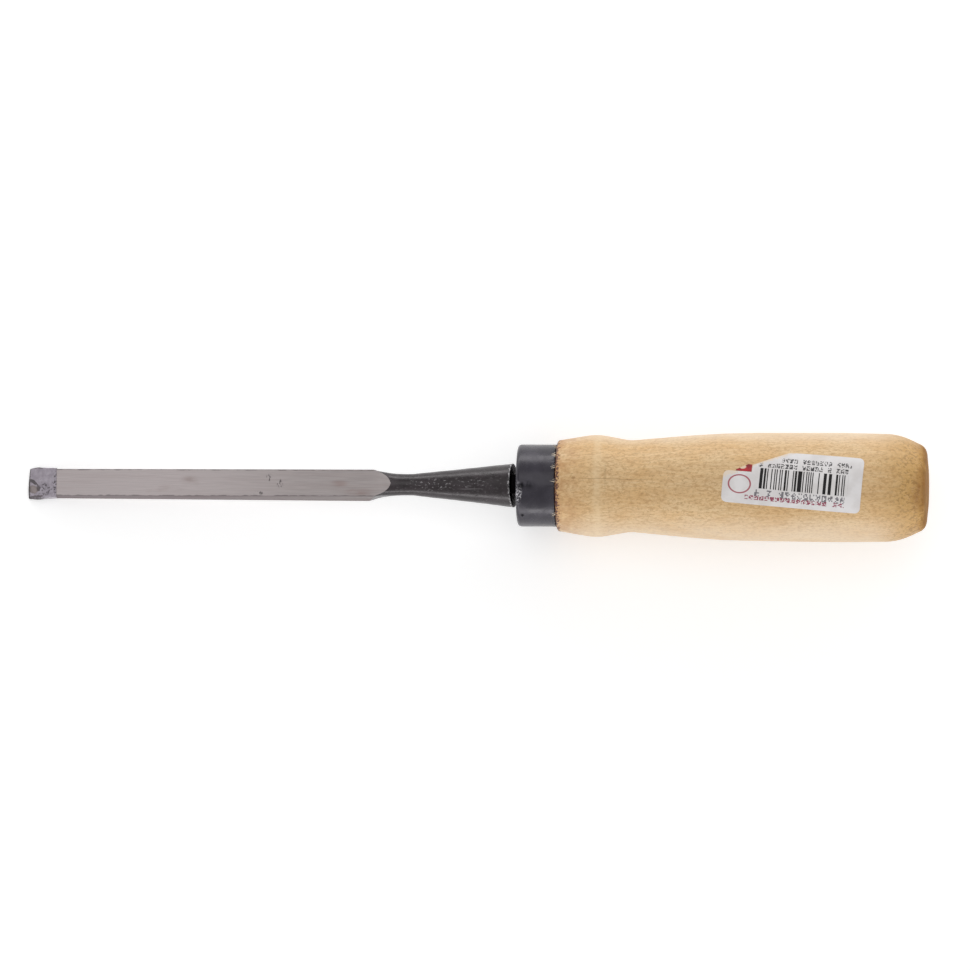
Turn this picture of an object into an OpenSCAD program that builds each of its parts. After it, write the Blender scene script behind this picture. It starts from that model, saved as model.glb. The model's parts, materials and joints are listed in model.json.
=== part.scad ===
// Flat bench chisel: a forged blade whose square tang is driven through a
// moulded ferrule into a turned wooden handle. It lies on a bench, bevel up,
// resting on its tip and on the bead of the handle.

/* [Blade] */
// Width of the blade across its flat back
blade_w = 8; // [6:0.5:10]
// Length of the ground blade, from the cutting edge to the shoulders
blade_len = 95.3; // [60:0.1:140]
// Thickness of the blade at the heel of the bevel
heel_t = 3.6; // [2.5:0.1:5]
// Angle between the bevel and the flat back
bevel_angle = 25; // [20:1:35]
// Inward lean of each side of the blade
side_lean = 4.5; // [0:0.5:8]
// Height of each ground face beyond the neck's waist
grind_skim = 0.1; // [0.05:0.05:0.5]
// Length of the ground face's rounded end, past the shoulders
runout_len = 5.4; // [4:0.2:8]

/* [Neck and bolster] */
// Length of the neck and the bolster, from the blade's shoulders to the ferrule
neck_len = 41; // [30:1:60]
// Distance from the shoulders to the front of the waist
flare_len = 7; // [5:0.1:9]
// Length of the waist before its ends are rounded
waist_len = 5.2; // [3:0.2:8]
// Diameter of the neck at its waist
waist_d = 6.1; // [5:0.1:8]
// Radius that blends the waist into the flare and the bolster
waist_blend_r = 50; // [10:5:60]
// Diameter of the bolster where it meets the ferrule
bolster_d = 12.5; // [10:0.5:16]
// Gap between the lowest edge of the bolster's rear end and the ferrule
bolster_gap = 0.3; // [0.1:0.1:0.8]
// Angle by which the bolster's rear end leans off square, open at the top
bolster_lean = 8.5; // [0:0.5:12]

/* [Tang] */
// Side of the square tang where it leaves the bolster
tang_w = 5.5; // [4:0.1:6]
// Side of the square tang at its driven end
tang_tip_w = 3; // [2:0.1:3.8]
// Length of the tang, from the ferrule's front face
tang_len = 65; // [45:1:85]

/* [Lacquer coat] */
// Thickness of the lacquer on the bevel, the back and the edge
coat_t = 0.4; // [0.2:0.05:0.8]
// Thickness of the lacquer on each side, at the cutting edge
coat_bead_t = 0.5; // [0.3:0.05:0.8]
// Thickness of the lacquer on each side, where the coat ends
coat_end_t = 0.12; // [0.1:0.02:0.3]
// Length of blade that the coat covers behind the bevel
coat_lap = 0.2; // [0.2:0.1:2]
// Radius of the coat's two front corners
coat_corner_r = 1.1; // [0.4:0.1:1.5]

/* [Ferrule] */
// Outer diameter of the ferrule
ferrule_d = 22.8; // [20:0.2:25]
// Length of the ferrule
ferrule_len = 11; // [8:0.5:16]
// Thickness of the ferrule's wall
ferrule_wall = 1.4; // [0.8:0.1:2.5]
// Thickness of the ferrule's front face
ferrule_face_t = 1.6; // [1:0.1:3]
// Radius of the ferrule's rounded front edge
ferrule_edge_r = 1.1; // [0.3:0.1:1.3]

/* [Handle] */
// Length of the handle behind the ferrule
grip_len = 103; // [100:1:130]
// Diameter of the handle behind its chamfered front edge
front_d = 25.6; // [25.2:0.2:27]
// Width of the chamfer round the handle's front edge
front_chamfer = 0.8; // [0.3:0.1:1]
// Distance from the ferrule to the crest of the bead
bead_x = 11.3; // [9:0.1:13]
// Diameter of the bead's crest before it is rounded over
bead_d = 29.4; // [28:0.2:31]
// Radius over the bead's crest
bead_r = 17; // [8:1:20]
// Distance from the ferrule to the waist behind the bead
grip_waist_x = 20.3; // [18:0.1:23]
// Diameter of the waist before it is rounded out
grip_waist_d = 26; // [24:0.2:27]
// Radius in the waist
grip_waist_r = 10; // [5:1:15]
// Distance from the ferrule to the front of the belly
belly_x = 45.4; // [40:0.2:52]
// Diameter of the front of the belly before it is rounded over
belly_front_d = 30.3; // [29:0.1:30.6]
// Radius over the front of the belly
belly_r = 231; // [150:1:260]
// Distance from the struck face to the thickest place of the belly
crest_back = 23.6; // [20:0.2:28]
// Diameter of the thickest place of the belly before it is rounded over
crest_d = 31; // [30.8:0.1:33]
// Radius over the thickest place of the belly
crest_r = 300; // [100:10:400]
// Length of the rounded butt
butt_len = 7.4; // [6:0.2:9]
// Diameter where the butt begins to round over
butt_d = 30.3; // [29:0.1:30.6]
// Radius where the belly turns into the butt
butt_r = 17; // [8:1:20]
// Diameter of the butt's end before its edge is rounded over
crown_d = 22.8; // [20:0.2:25]
// Radius of the butt's edge
crown_r = 1.8; // [0.5:0.1:2]
// Height of the crowned end above its edge
crown_h = 0.6; // [0.2:0.1:1.2]
// Diameter of the flat struck face
struck_d = 14; // [8:0.5:16]
// Diameter of the pilot hole for the tang
pilot_d = 4.5; // [3:0.1:5]
// Depth of the pilot hole beyond the end of the tang
pilot_extra = 1.5; // [1:0.5:10]

/* [Label] */
// Length of the paper label
label_len = 38.5; // [30:0.5:45]
// Height of the paper label, measured round the handle
label_h = 16; // [12:0.5:20]
// Thickness of the paper label
label_t = 0.15; // [0.1:0.05:0.3]
// Radius of the label's corners
label_corner_r = 1.5; // [0.5:0.1:2.5]
// Distance from the struck face to the middle of the label
label_back = 37; // [32:0.2:42]
// Turn of the label about its middle
label_turn = -5; // [-10:1:10]
// Length of the torn corner along the label's upper edge
tear_len = 17.8; // [12:0.1:25]
// Height of the torn corner at the label's end
tear_h = 6.9; // [4:0.1:10]
// Distance from the label's end to the step in the tear
tear_step_x = 7.8; // [4:0.1:10]
// Height of the step in the tear
tear_step_h = 2.1; // [1:0.1:3]

/* [Fits] */
// Clearance round the tang in the handle, on each side
tang_clear = 0.1; // [0.05:0.05:0.3]
// Clearance between the tang's corners and the ferrule's hole
hole_clear = 0.3; // [0.1:0.1:1]
// Clearance between the tenon's end and the ferrule's front face
tenon_clear = 0.3; // [0.1:0.1:0.6]

/* [Hidden] */
$fn = 96;
// Largest turn and longest chord of one stretch of a rounded corner
arc_step = 4;
chord_max = 2;
// Overshoot of cutters past the faces they cut
cut = 1;
// Largest radius of the coat's corner, in coat thicknesses, that still covers
// the corner of the blade
coat_corner_limit = 3;
// Cutters and blanks reach this far, well past the whole tool
far = 60;
// Degrees in one radian
rad = 180 / PI;

// Blade, measured along the tool's axis from the ferrule's front face
edge_x = -neck_len - blade_len;
heel_x = edge_x + heel_t / tan(bevel_angle);
runout_x = -neck_len + runout_len;
waist_x = -neck_len + flare_len + waist_len / 2;
back_z = -waist_d / 2 - grind_skim;
ground_slope = (waist_d + 2 * grind_skim - heel_t) / (runout_x - heel_x);
function ground_z(x) = back_z + heel_t + (x - heel_x) * ground_slope;

// Leaning rear end of the bolster, at height z, and the buried root of the tang
function bolster_end(z) = -bolster_gap - (z + bolster_d / 2) * tan(bolster_lean);
tang_root_x = bolster_end(bolster_d / 2) - cut;

// Lacquer coat: its top runs parallel to the bevel, then to the ground face
tip_x = edge_x - coat_t;
coat_end_x = heel_x + coat_lap;
coat_rise = coat_t / cos(bevel_angle);
tip_top_z = back_z - coat_t * tan(bevel_angle) + coat_rise;
coat_heel_x = heel_x - (coat_rise - coat_t) / (tan(bevel_angle) - ground_slope);
coat_corner = min(coat_corner_r, coat_corner_limit * min(coat_t, coat_bead_t));

// Ferrule and the tenon inside it
tenon_d = ferrule_d - 2 * ferrule_wall;
tenon_front_x = ferrule_face_t + tenon_clear;
edge_r = min(ferrule_edge_r, ferrule_wall, ferrule_face_t);
hole_d = tang_w * sqrt(2) + 2 * hole_clear;

// Handle: each corner of its outline, measured from the ferrule's rear end,
// with the radius that rounds the corner
grip_corners = [
    [0, front_d / 2 - front_chamfer, 0],
    [front_chamfer, front_d / 2, 0],
    [bead_x, bead_d / 2, bead_r],
    [grip_waist_x, grip_waist_d / 2, grip_waist_r],
    [belly_x, belly_front_d / 2, belly_r],
    [grip_len - crest_back, crest_d / 2, crest_r],
    [grip_len - crown_h - butt_len, butt_d / 2, butt_r],
    [grip_len - crown_h, crown_d / 2, crown_r],
    [grip_len, struck_d / 2, 0]
];
bead_corner = 2;
belly_corner = 4;
butt_x = ferrule_len + grip_len;

// Neck: corners of its outline, from the shoulders to the ferrule
neck_corners = [
    [-neck_len, blade_w / 2, 0],
    [-neck_len + flare_len, waist_d / 2, waist_blend_r],
    [-neck_len + flare_len + waist_len, waist_d / 2, waist_blend_r / 2],
    [0, bolster_d / 2, 0]
];

// Label: corners of its outline before it is turned and wrapped
label_corners = [
    [-label_len / 2, -label_h / 2, label_corner_r],
    [label_len / 2, -label_h / 2, label_corner_r],
    [label_len / 2, label_h / 2, label_corner_r],
    [-label_len / 2 + tear_len, label_h / 2, 0],
    [-label_len / 2 + tear_step_x, label_h / 2 - tear_h + tear_step_h, 0],
    [-label_len / 2 + tear_step_x, label_h / 2 - tear_h, 0],
    [-label_len / 2, label_h / 2 - tear_h, label_corner_r / 2]
];

// Rounded outlines: the arc of radius r that touches both legs of corner b
function unit(a, b) = (b - a) / norm(b - a);
function flat(p) = [p.x, p.y];
function half_turn(a, b, c) = acos(unit(a, b) * unit(b, c)) / 2;
function bisector(a, b, c) = unit(unit(a, b), unit(b, c));
function arc_centre(a, b, c, r) = b + bisector(a, b, c) * r / cos(half_turn(a, b, c));
function arc_steps(turn, r) = ceil(max(turn / arc_step, turn / rad * r / chord_max));
function arc_points(a, b, c, r) =
    let (
        turn = 2 * half_turn(a, b, c),
        way = sign(cross(unit(a, b), unit(b, c))),
        centre = arc_centre(a, b, c, r),
        first = b - unit(a, b) * r * tan(turn / 2) - centre,
        start = atan2(first.y, first.x),
        steps = arc_steps(turn, r)
    )
    [for (i = [0:steps]) centre + r * [cos(start + way * turn * i / steps), sin(start + way * turn * i / steps)]];
function reversed(list) = [for (i = [len(list) - 1:-1:0]) list[i]];
function rounded_corner(a, b, c) = b.z == 0 ? [flat(b)] : arc_points(flat(a), flat(b), flat(c), b.z);
function rounded_path(corners) = [
    flat(corners[0]),
    for (i = [1:len(corners) - 2]) each rounded_corner(corners[i - 1], corners[i], corners[i + 1]),
    flat(corners[len(corners) - 1])
];
function rounded_loop(corners) = [
    for (i = [0:len(corners) - 1])
        each rounded_corner(corners[(i + len(corners) - 1) % len(corners)], corners[i], corners[(i + 1) % len(corners)])
];

// Rest: the tilt that brings the coat's lower edge and one rounded corner of
// the grip, whose arc has radius r, down to the bench together
tip_low = [tip_x, back_z - coat_t];
function grip_arc_centre(i) =
    arc_centre(flat(grip_corners[i - 1]), flat(grip_corners[i]), flat(grip_corners[i + 1]), grip_corners[i].z);
function rest_tilt(i) =
    let (run = [ferrule_len + grip_arc_centre(i).x, -grip_arc_centre(i).y] - tip_low)
    asin(grip_corners[i].z / norm(run)) - atan2(run.y, run.x);
tilt = max(rest_tilt(bead_corner), rest_tilt(belly_corner));
bench_z = tip_low.x * sin(tilt) + tip_low.y * cos(tilt);
tip_reach = tip_x * cos(tilt) - tip_top_z * sin(tilt);
butt_reach = butt_x * cos(tilt) + struck_d / 2 * sin(tilt);

// Lays the tool on the bench, centred over the origin
module lay_down() {
    translate([-(tip_reach + butt_reach) / 2, 0, -bench_z]) rotate([0, -tilt, 0]) children();
}

// Turns an outline of axial place and radius about the tool's axis
module turned(outline) {
    rotate([0, 90, 0]) rotate_extrude() polygon([for (p = outline) [p.y, p.x]]);
}

// Extrudes an outline of axial place and height across the tool
module across(outline) {
    translate([0, far / 2, 0]) rotate([90, 0, 0]) linear_extrude(far) polygon(outline);
}

// Extrudes an outline of axial place and side reach upright through the tool
module upright(outline) {
    translate([0, 0, -far / 2]) linear_extrude(far) polygon(outline);
}

// Cylinder along the tool's axis between two axial places
module rod(d, from_x, to_x) {
    translate([from_x, 0, 0]) rotate([0, 90, 0]) cylinder(d = d, h = to_x - from_x);
}

// Square bar that tapers along the tool, grown by clear on every side
module tang(clear) {
    root = tang_w / 2 + clear;
    tip = tang_tip_w / 2 + clear;
    end_x = tang_len + clear;
    outline = [
        [tang_root_x, -root],
        [0, -root],
        [end_x, -tip],
        [end_x, tip],
        [0, root],
        [tang_root_x, root]
    ];
    intersection() {
        across(outline);
        upright(outline);
    }
}

// Ground bar of the blade, from the cutting edge to the end of the run-out
module ground_bar() {
    side_view = [
        [edge_x, back_z],
        [runout_x, back_z],
        [runout_x, ground_z(runout_x)],
        [heel_x, ground_z(heel_x)]
    ];
    plan = [
        [edge_x - cut, -blade_w],
        [-neck_len, -blade_w],
        for (a = [-90:6:90]) [-neck_len + runout_len * cos(a), blade_w / 2 * sin(a)],
        [-neck_len, blade_w],
        [edge_x - cut, blade_w]
    ];
    lean_run = far * tan(side_lean);
    section = [
        [-blade_w / 2, 0],
        [blade_w / 2, 0],
        [blade_w / 2 - lean_run, far],
        [-blade_w / 2 + lean_run, far]
    ];
    intersection() {
        across(side_view);
        upright(plan);
        translate([edge_x, 0, back_z]) rotate([90, 0, 90]) linear_extrude(runout_x - edge_x) polygon(section);
    }
}

// Round neck that widens into the bolster, with both ground faces running out
// on its flare and the bolster's rear end cut off leaning
module neck() {
    front_x = -neck_len - cut;
    difference() {
        turned([[-neck_len, 0], each rounded_path(neck_corners), [0, 0]]);
        across([[front_x, ground_z(front_x)], [waist_x, ground_z(waist_x)], [waist_x, far], [front_x, far]]);
        across([[front_x, back_z], [waist_x, back_z], [waist_x, -far], [front_x, -far]]);
        across([[bolster_end(-far), -far], [bolster_end(far), far], [far, far], [far, -far]]);
    }
}

module blade() {
    color("silver") lay_down() {
        ground_bar();
        neck();
        tang(0);
    }
}

// Skin of lacquer over the bevel and the cutting edge, widest at the edge
module edge_coat() {
    side_view = [
        [tip_x, back_z - coat_t],
        [coat_end_x, back_z - coat_t],
        [coat_end_x, ground_z(coat_end_x) + coat_t],
        [coat_heel_x, ground_z(coat_heel_x) + coat_t],
        [tip_x, tip_top_z]
    ];
    plan = rounded_path([
        [coat_end_x, -blade_w / 2 - coat_end_t, 0],
        [tip_x, -blade_w / 2 - coat_bead_t, coat_corner],
        [tip_x, blade_w / 2 + coat_bead_t, coat_corner],
        [coat_end_x, blade_w / 2 + coat_end_t, 0]
    ]);
    color("thistle") lay_down() difference() {
        intersection() {
            across(side_view);
            upright(plan);
        }
        ground_bar();
    }
}

// Cap over the front of the handle, with a hole in its face for the tang
module ferrule() {
    outer = rounded_path([
        [0, 0, 0],
        [0, ferrule_d / 2, edge_r],
        [ferrule_len, ferrule_d / 2, 0],
        [ferrule_len, 0, 0]
    ]);
    color("slategray") lay_down() difference() {
        turned(outer);
        rod(hole_d, -cut, ferrule_len);
        rod(tenon_d, ferrule_face_t, ferrule_len + cut);
    }
}

// Outline of the grip from the ferrule to the struck face, grown by grow
function grip_outline(grow) = [for (p = rounded_path(grip_corners)) [ferrule_len + p.x, p.y + grow]];

// Turned handle, with a tenon in the ferrule and a hole for the tang
module handle() {
    outer = [
        [tenon_front_x, 0],
        [tenon_front_x, tenon_d / 2],
        [ferrule_len, tenon_d / 2],
        each grip_outline(0),
        [butt_x, 0]
    ];
    color("burlywood") lay_down() difference() {
        turned(outer);
        tang(tang_clear);
        rod(pilot_d, 0, tang_len + pilot_extra);
    }
}

// Point of the flat label, turned and wrapped round the belly
function wrapped(p) =
    let (side = p.x * sin(label_turn) + p.y * cos(label_turn))
    [butt_x - label_back + p.x * cos(label_turn) - p.y * sin(label_turn), crest_d / 2 * sin(side / crest_d * 2 * rad)];

// Paper label that follows the handle, with one corner torn away
module label() {
    skin = [each grip_outline(label_t), each reversed(grip_outline(0))];
    color("whitesmoke") lay_down() intersection() {
        turned(skin);
        linear_extrude(far) polygon([for (p = rounded_loop(label_corners)) wrapped(p)]);
    }
}

blade();
edge_coat();
ferrule();
handle();
label();
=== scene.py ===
"""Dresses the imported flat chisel: forged blade, lacquered tip, ferrule, turned handle, label."""

import json
import logging
import math
import random
from collections.abc import Callable, Iterable, Mapping, Sequence
from dataclasses import astuple, dataclass
from enum import Enum
from functools import reduce
from typing import Any, ClassVar

import bmesh
import bpy
from mathutils import Matrix, Vector


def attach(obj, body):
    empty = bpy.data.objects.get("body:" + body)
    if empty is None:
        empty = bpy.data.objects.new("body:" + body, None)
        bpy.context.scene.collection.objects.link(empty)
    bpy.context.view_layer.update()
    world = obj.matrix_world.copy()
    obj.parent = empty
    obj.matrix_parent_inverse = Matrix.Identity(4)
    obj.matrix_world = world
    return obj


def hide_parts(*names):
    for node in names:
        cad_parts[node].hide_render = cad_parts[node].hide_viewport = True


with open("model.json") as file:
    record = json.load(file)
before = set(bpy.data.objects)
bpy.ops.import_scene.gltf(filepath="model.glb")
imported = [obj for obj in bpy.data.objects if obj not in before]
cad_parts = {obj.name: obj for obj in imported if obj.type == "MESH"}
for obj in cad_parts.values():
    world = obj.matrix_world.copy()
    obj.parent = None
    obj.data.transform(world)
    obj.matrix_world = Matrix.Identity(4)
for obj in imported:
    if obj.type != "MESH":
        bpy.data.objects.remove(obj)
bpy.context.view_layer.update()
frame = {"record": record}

LOG = logging.getLogger("chisel")
BODY = "root"
BUTT_REACH = 0.1140  # from the front face of the ferrule to the struck face
FLAT_MAP = "flat"  # where a point of the label lies on the flat sheet
MERGE = 1e-6  # corners nearer than this are one
CUT = MERGE / 10
SRGB_KNEE, SRGB_SLOPE, SRGB_LIFT, SRGB_POWER = 0.04045, 12.92, 0.055, 2.4

Span = tuple[float, float]
Triple = tuple[float, float, float]
Colour = tuple[float, float, float, float]
Place = tuple[Triple, Triple]
Socket = bpy.types.NodeSocket
Shape = bpy.types.Object

ZERO: Triple = (0.0, 0.0, 0.0)
UNIT: Triple = (1.0, 1.0, 1.0)
WHITE: Colour = (1.0, 1.0, 1.0, 1.0)
BLACK: Colour = (0.0, 0.0, 0.0, 1.0)
NOISE: Span = (0.3, 0.7)  # holds nearly all of a soft noise


def paint(code: str) -> Colour:
    """Turns a screen colour into the linear colour that a shader takes.

    Args:
        code: Six hexadecimal digits, red, green and blue.

    Returns:
        Linear red, green, blue and full opacity.
    """
    levels = [int(code[i:i + 2], 16) / 255 for i in (0, 2, 4)]
    linear = [v / SRGB_SLOPE if v <= SRGB_KNEE else ((v + SRGB_LIFT) / (1 + SRGB_LIFT)) ** SRGB_POWER
              for v in levels]
    return (*linear, 1.0)


@dataclass(frozen=True)
class ToolAxis:
    """Line from the cutting edge to the struck face, as the tool lies on the bench."""

    origin: Vector
    tilt: float

    @classmethod
    def from_record(cls, record: Mapping[str, Any], reach: float) -> "ToolAxis":
        """Finds the axis from the mount on the struck face.

        Args:
            record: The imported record.
            reach: Distance from the ferrule's front face to the struck face.

        Returns:
            The axis, with its origin in the middle of the ferrule's front face.
        """
        mount = next(m for m in record["mounts"] if m["name"] == "butt_face")
        along = Vector(mount["axis"])
        return cls(Vector(mount["pos_m"]) - reach * along, math.atan2(along.z, along.x))

    def matrix(self) -> Matrix:
        """Lays a piece made along X down on the bench."""
        return Matrix.Translation(self.origin) @ Matrix.Rotation(-self.tilt, 4, "Y")


class Cap(Enum):
    """How an end of a turned form is closed."""

    OPEN = "open"
    POLE = "pole"


class Join(Enum):
    """How another form changes a piece."""

    ADD = "UNION"
    TAKE = "DIFFERENCE"


@dataclass(frozen=True)
class Section:
    """Rounded rectangle that stands across the tool."""

    x: float
    half_y: float
    low: float
    high: float
    corner: float

    @classmethod
    def even(cls, x: float, half_y: float, half_z: float, corner: float) -> "Section":
        """Makes a section that reaches as far down as up."""
        return cls(x, half_y, -half_z, half_z, corner)

    def toward(self, other: "Section", share: float) -> "Section":
        """Gives the section that lies a share of the way to another."""
        return Section(*(a + (b - a) * share for a, b in zip(astuple(self), astuple(other))))


class Bench:
    """Edit-mode work on one piece at a time."""

    def __init__(self, axis: ToolAxis) -> None:
        """Keeps the axis that finished pieces are laid along."""
        self.axis = axis

    @staticmethod
    def edit(wanted: bool = True) -> None:
        """Opens the active piece in edit mode, or leaves that mode."""
        bpy.ops.object.mode_set(mode="EDIT" if wanted else "OBJECT")

    @staticmethod
    def take_all() -> None:
        """Selects the whole mesh."""
        bpy.ops.mesh.select_all(action="SELECT")

    def begin(self, name: str) -> Shape:
        """Starts an empty piece and opens it in edit mode.

        Args:
            name: Name of the piece.

        Returns:
            The new object.
        """
        if bpy.context.object and bpy.context.object.mode == "EDIT":
            self.edit(False)
        bpy.ops.object.select_all(action="DESELECT")
        bpy.ops.object.add(type="MESH", location=ZERO)
        piece = bpy.context.object
        piece.name = piece.data.name = name
        self.edit()
        return piece

    def pick(self, test: Callable[[Vector], bool], faces: bool = False) -> None:
        """Selects the corners or the faces whose middle passes a test.

        Args:
            test: Says whether a middle is wanted.
            faces: Whether faces are selected, not corners.
        """
        bpy.ops.mesh.select_mode(type="FACE" if faces else "VERT")
        bpy.ops.mesh.select_all(action="DESELECT")
        mesh = bmesh.from_edit_mesh(bpy.context.object.data)
        for part in mesh.faces if faces else mesh.verts:
            middle = sum((v.co for v in part.verts), Vector()) / len(part.verts) if faces else part.co
            if test(middle):
                part.select_set(True)
        mesh.select_flush_mode()
        bmesh.update_edit_mesh(bpy.context.object.data)

    def turn(self, outline: Sequence[Span], steps: int, cap: Cap) -> None:
        """Turns an outline by drawing one ring from station to station.

        Args:
            outline: Axial place and radius of each station.
            steps: Sides of the ring.
            cap: How the first and the last ring are closed.
        """
        x, radius = outline[0]
        bpy.ops.mesh.select_mode(type="VERT")
        bpy.ops.mesh.primitive_circle_add(
            vertices=steps, radius=radius, fill_type="TRIFAN" if cap is Cap.POLE else "NOTHING",
            location=(x, 0, 0), rotation=(0, math.pi / 2, 0))
        if cap is Cap.POLE:
            self.pick(lambda v: math.hypot(v.y, v.z) > radius / 2)
        for next_x, next_radius in outline[1:]:
            self.draw_ring((next_x - x, 0, 0), next_radius / radius, next_x)
            x, radius = next_x, next_radius
        if cap is Cap.POLE:
            for _ in range(2):
                self.draw_ring(ZERO, 0.5, x)
            bpy.ops.mesh.merge(type="CENTER")

    def draw_ring(self, shift: Sequence[float], scale: float, x: float) -> None:
        """Extrudes the selected ring, then moves and sizes it.

        Args:
            shift: How far the new ring moves.
            scale: How much the new ring grows across the axis.
            x: Axial place of the new ring.
        """
        bpy.ops.mesh.extrude_region_move(TRANSFORM_OT_translate={"value": shift})
        bpy.ops.transform.resize(value=(1, scale, scale), center_override=(x, 0, 0))

    def board(self, place: Sequence[float], size: Sequence[float], **options: Any) -> None:
        """Adds a flat rectangle to the piece.

        Args:
            place: Its middle.
            size: Its size along each axis.
            options: More settings of the operator that adds it.
        """
        bpy.ops.mesh.primitive_plane_add(size=1, location=place, **options)
        bpy.ops.transform.resize(value=size, center_override=place)

    def loft(self, sections: Iterable[Section], corner_steps: int) -> None:
        """Bridges rounded rectangles into one closed bar.

        Args:
            sections: The rings, in order along the tool.
            corner_steps: Sides of each rounded corner.
        """
        for s in sections:
            bpy.ops.mesh.select_all(action="DESELECT")
            self.board((s.x, 0, (s.low + s.high) / 2), (1, 2 * s.half_y, s.high - s.low),
                       rotation=(0, math.pi / 2, 0))
            bpy.ops.mesh.bevel(offset=s.corner, segments=corner_steps, affect="VERTICES")
        self.take_all()
        bpy.ops.mesh.delete(type="ONLY_FACE")
        self.take_all()
        bpy.ops.mesh.bridge_edge_loops()
        self.take_all()
        bpy.ops.mesh.fill_holes(sides=0)

    def cut(self, through: Sequence[float], away: Sequence[float], **options: Any) -> None:
        """Cuts what is selected along the plane through a point that faces a direction."""
        bpy.ops.mesh.bisect(plane_co=through, plane_no=away, threshold=CUT, **options)

    def grind(self, through: Sequence[float], away: Sequence[float], behind: float) -> None:
        """Cuts a flat on the part of the piece that lies in front of an axial place."""
        self.pick(lambda middle: middle.x < behind, True)
        self.cut(through, away, use_fill=True, clear_outer=True)

    def fit(self, kind: str, **settings: Any) -> None:
        """Puts a modifier on the active piece and applies it.

        Args:
            kind: The modifier's type.
            settings: Its settings, by name.
        """
        piece = bpy.context.object
        mode = piece.mode
        self.edit(False)
        modifier = piece.modifiers.new(kind.lower(), kind)
        for name, value in settings.items():
            setattr(modifier, name, value)
        bpy.ops.object.modifier_apply(modifier=modifier.name)
        bpy.ops.object.mode_set(mode=mode)

    def roughen(self, size: float, height: float, group: str = "") -> None:
        """Raises and sinks the surface a little, as a hammer or a tool leaves it.

        Args:
            size: Width of one unevenness.
            height: Height from the lowest to the highest place.
            group: Vertex group that limits it, if any.
        """
        cloud = bpy.data.textures.new("unevenness", "CLOUDS")
        cloud.noise_scale = size
        self.fit("DISPLACE", texture=cloud, strength=height, mid_level=0.5, vertex_group=group)

    def group(self, name: str, test: Callable[[Vector], bool]) -> None:
        """Gathers the corners that pass a test in a vertex group.

        Args:
            name: Name of the group.
            test: Says whether a corner belongs to it.
        """
        piece = bpy.context.object
        self.edit(False)
        members = [v.index for v in piece.data.vertices if test(v.co)]
        piece.vertex_groups.new(name=name).add(members, 1.0, "REPLACE")
        self.edit()

    def combine(self, piece: Shape, join: Join, other: Shape) -> None:
        """Adds another form to the piece, or takes it out.

        Args:
            piece: The piece that is changed.
            join: What is done.
            other: The other form, which stays.
        """
        self.edit(False)
        bpy.ops.object.select_all(action="DESELECT")
        bpy.context.view_layer.objects.active = piece
        piece.select_set(True)
        self.edit()
        self.fit("BOOLEAN", object=other, operation=join.value, solver="EXACT")

    @staticmethod
    def smooth(below: float) -> None:
        """Shades the active piece smoothly where its faces meet at less than some degrees."""
        bpy.ops.object.shade_smooth_by_angle(angle=math.radians(below))

    @staticmethod
    def settle(piece: Shape, matrix: Matrix) -> None:
        """Gives the active piece a place and applies it to the mesh."""
        piece.matrix_world = matrix
        bpy.ops.object.transform_apply(location=True, rotation=True, scale=True)

    def close(self, piece: Shape, smooth_below: float) -> Shape:
        """Merges doubles, turns the faces outwards, smooths the piece and lays it down.

        Args:
            piece: The piece in edit mode.
            smooth_below: Largest angle, in degrees, that still shades smoothly.

        Returns:
            The finished piece.
        """
        bpy.ops.mesh.select_mode(type="VERT")
        self.take_all()
        bpy.ops.mesh.remove_doubles(threshold=MERGE)
        bpy.ops.mesh.normals_make_consistent(inside=False)
        self.edit(False)
        self.smooth(smooth_below)
        self.settle(piece, self.axis.matrix())
        return piece


def rounded(corners: Sequence[Triple], step: float = 6.0) -> list[Span]:
    """Rounds the corners of an outline.

    Args:
        corners: Two coordinates and the radius of each corner.
        step: Largest turn, in degrees, of one side of an arc.

    Returns:
        The outline's points.
    """
    points: list[Span] = [corners[0][:2]]
    for before, here, after in zip(corners, corners[1:], corners[2:]):
        a, b, c = (Vector(p[:2]) for p in (before, here, after))
        into, out = (b - a).normalized(), (c - b).normalized()
        turn = into.angle_signed(out)
        if here[2] == 0 or abs(turn) < MERGE:
            points.append(here[:2])
            continue
        centre = b + (out - into).normalized() * here[2] / math.cos(turn / 2)
        first = b - into * here[2] * math.tan(abs(turn) / 2) - centre
        count = max(2, math.ceil(math.degrees(abs(turn)) / step))
        for i in range(count + 1):
            arm = Matrix.Rotation(-turn * i / count, 2) @ first
            points.append((centre.x + arm.x, centre.y + arm.y))
    points.append(corners[-1][:2])
    return points


def spaced(outline: Sequence[Span], longest: float) -> list[Span]:
    """Adds stations to an outline where two of them lie far apart.

    Args:
        outline: Axial place and radius of each station.
        longest: Largest distance between stations.

    Returns:
        The outline with the new stations.
    """
    points = [outline[0]]
    for (x0, r0), (x1, r1) in zip(outline, outline[1:]):
        count = max(1, math.ceil(math.hypot(x1 - x0, r1 - r0) / longest))
        points += [(x0 + (x1 - x0) * i / count, r0 + (r1 - r0) * i / count) for i in range(1, count + 1)]
    return points


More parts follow.
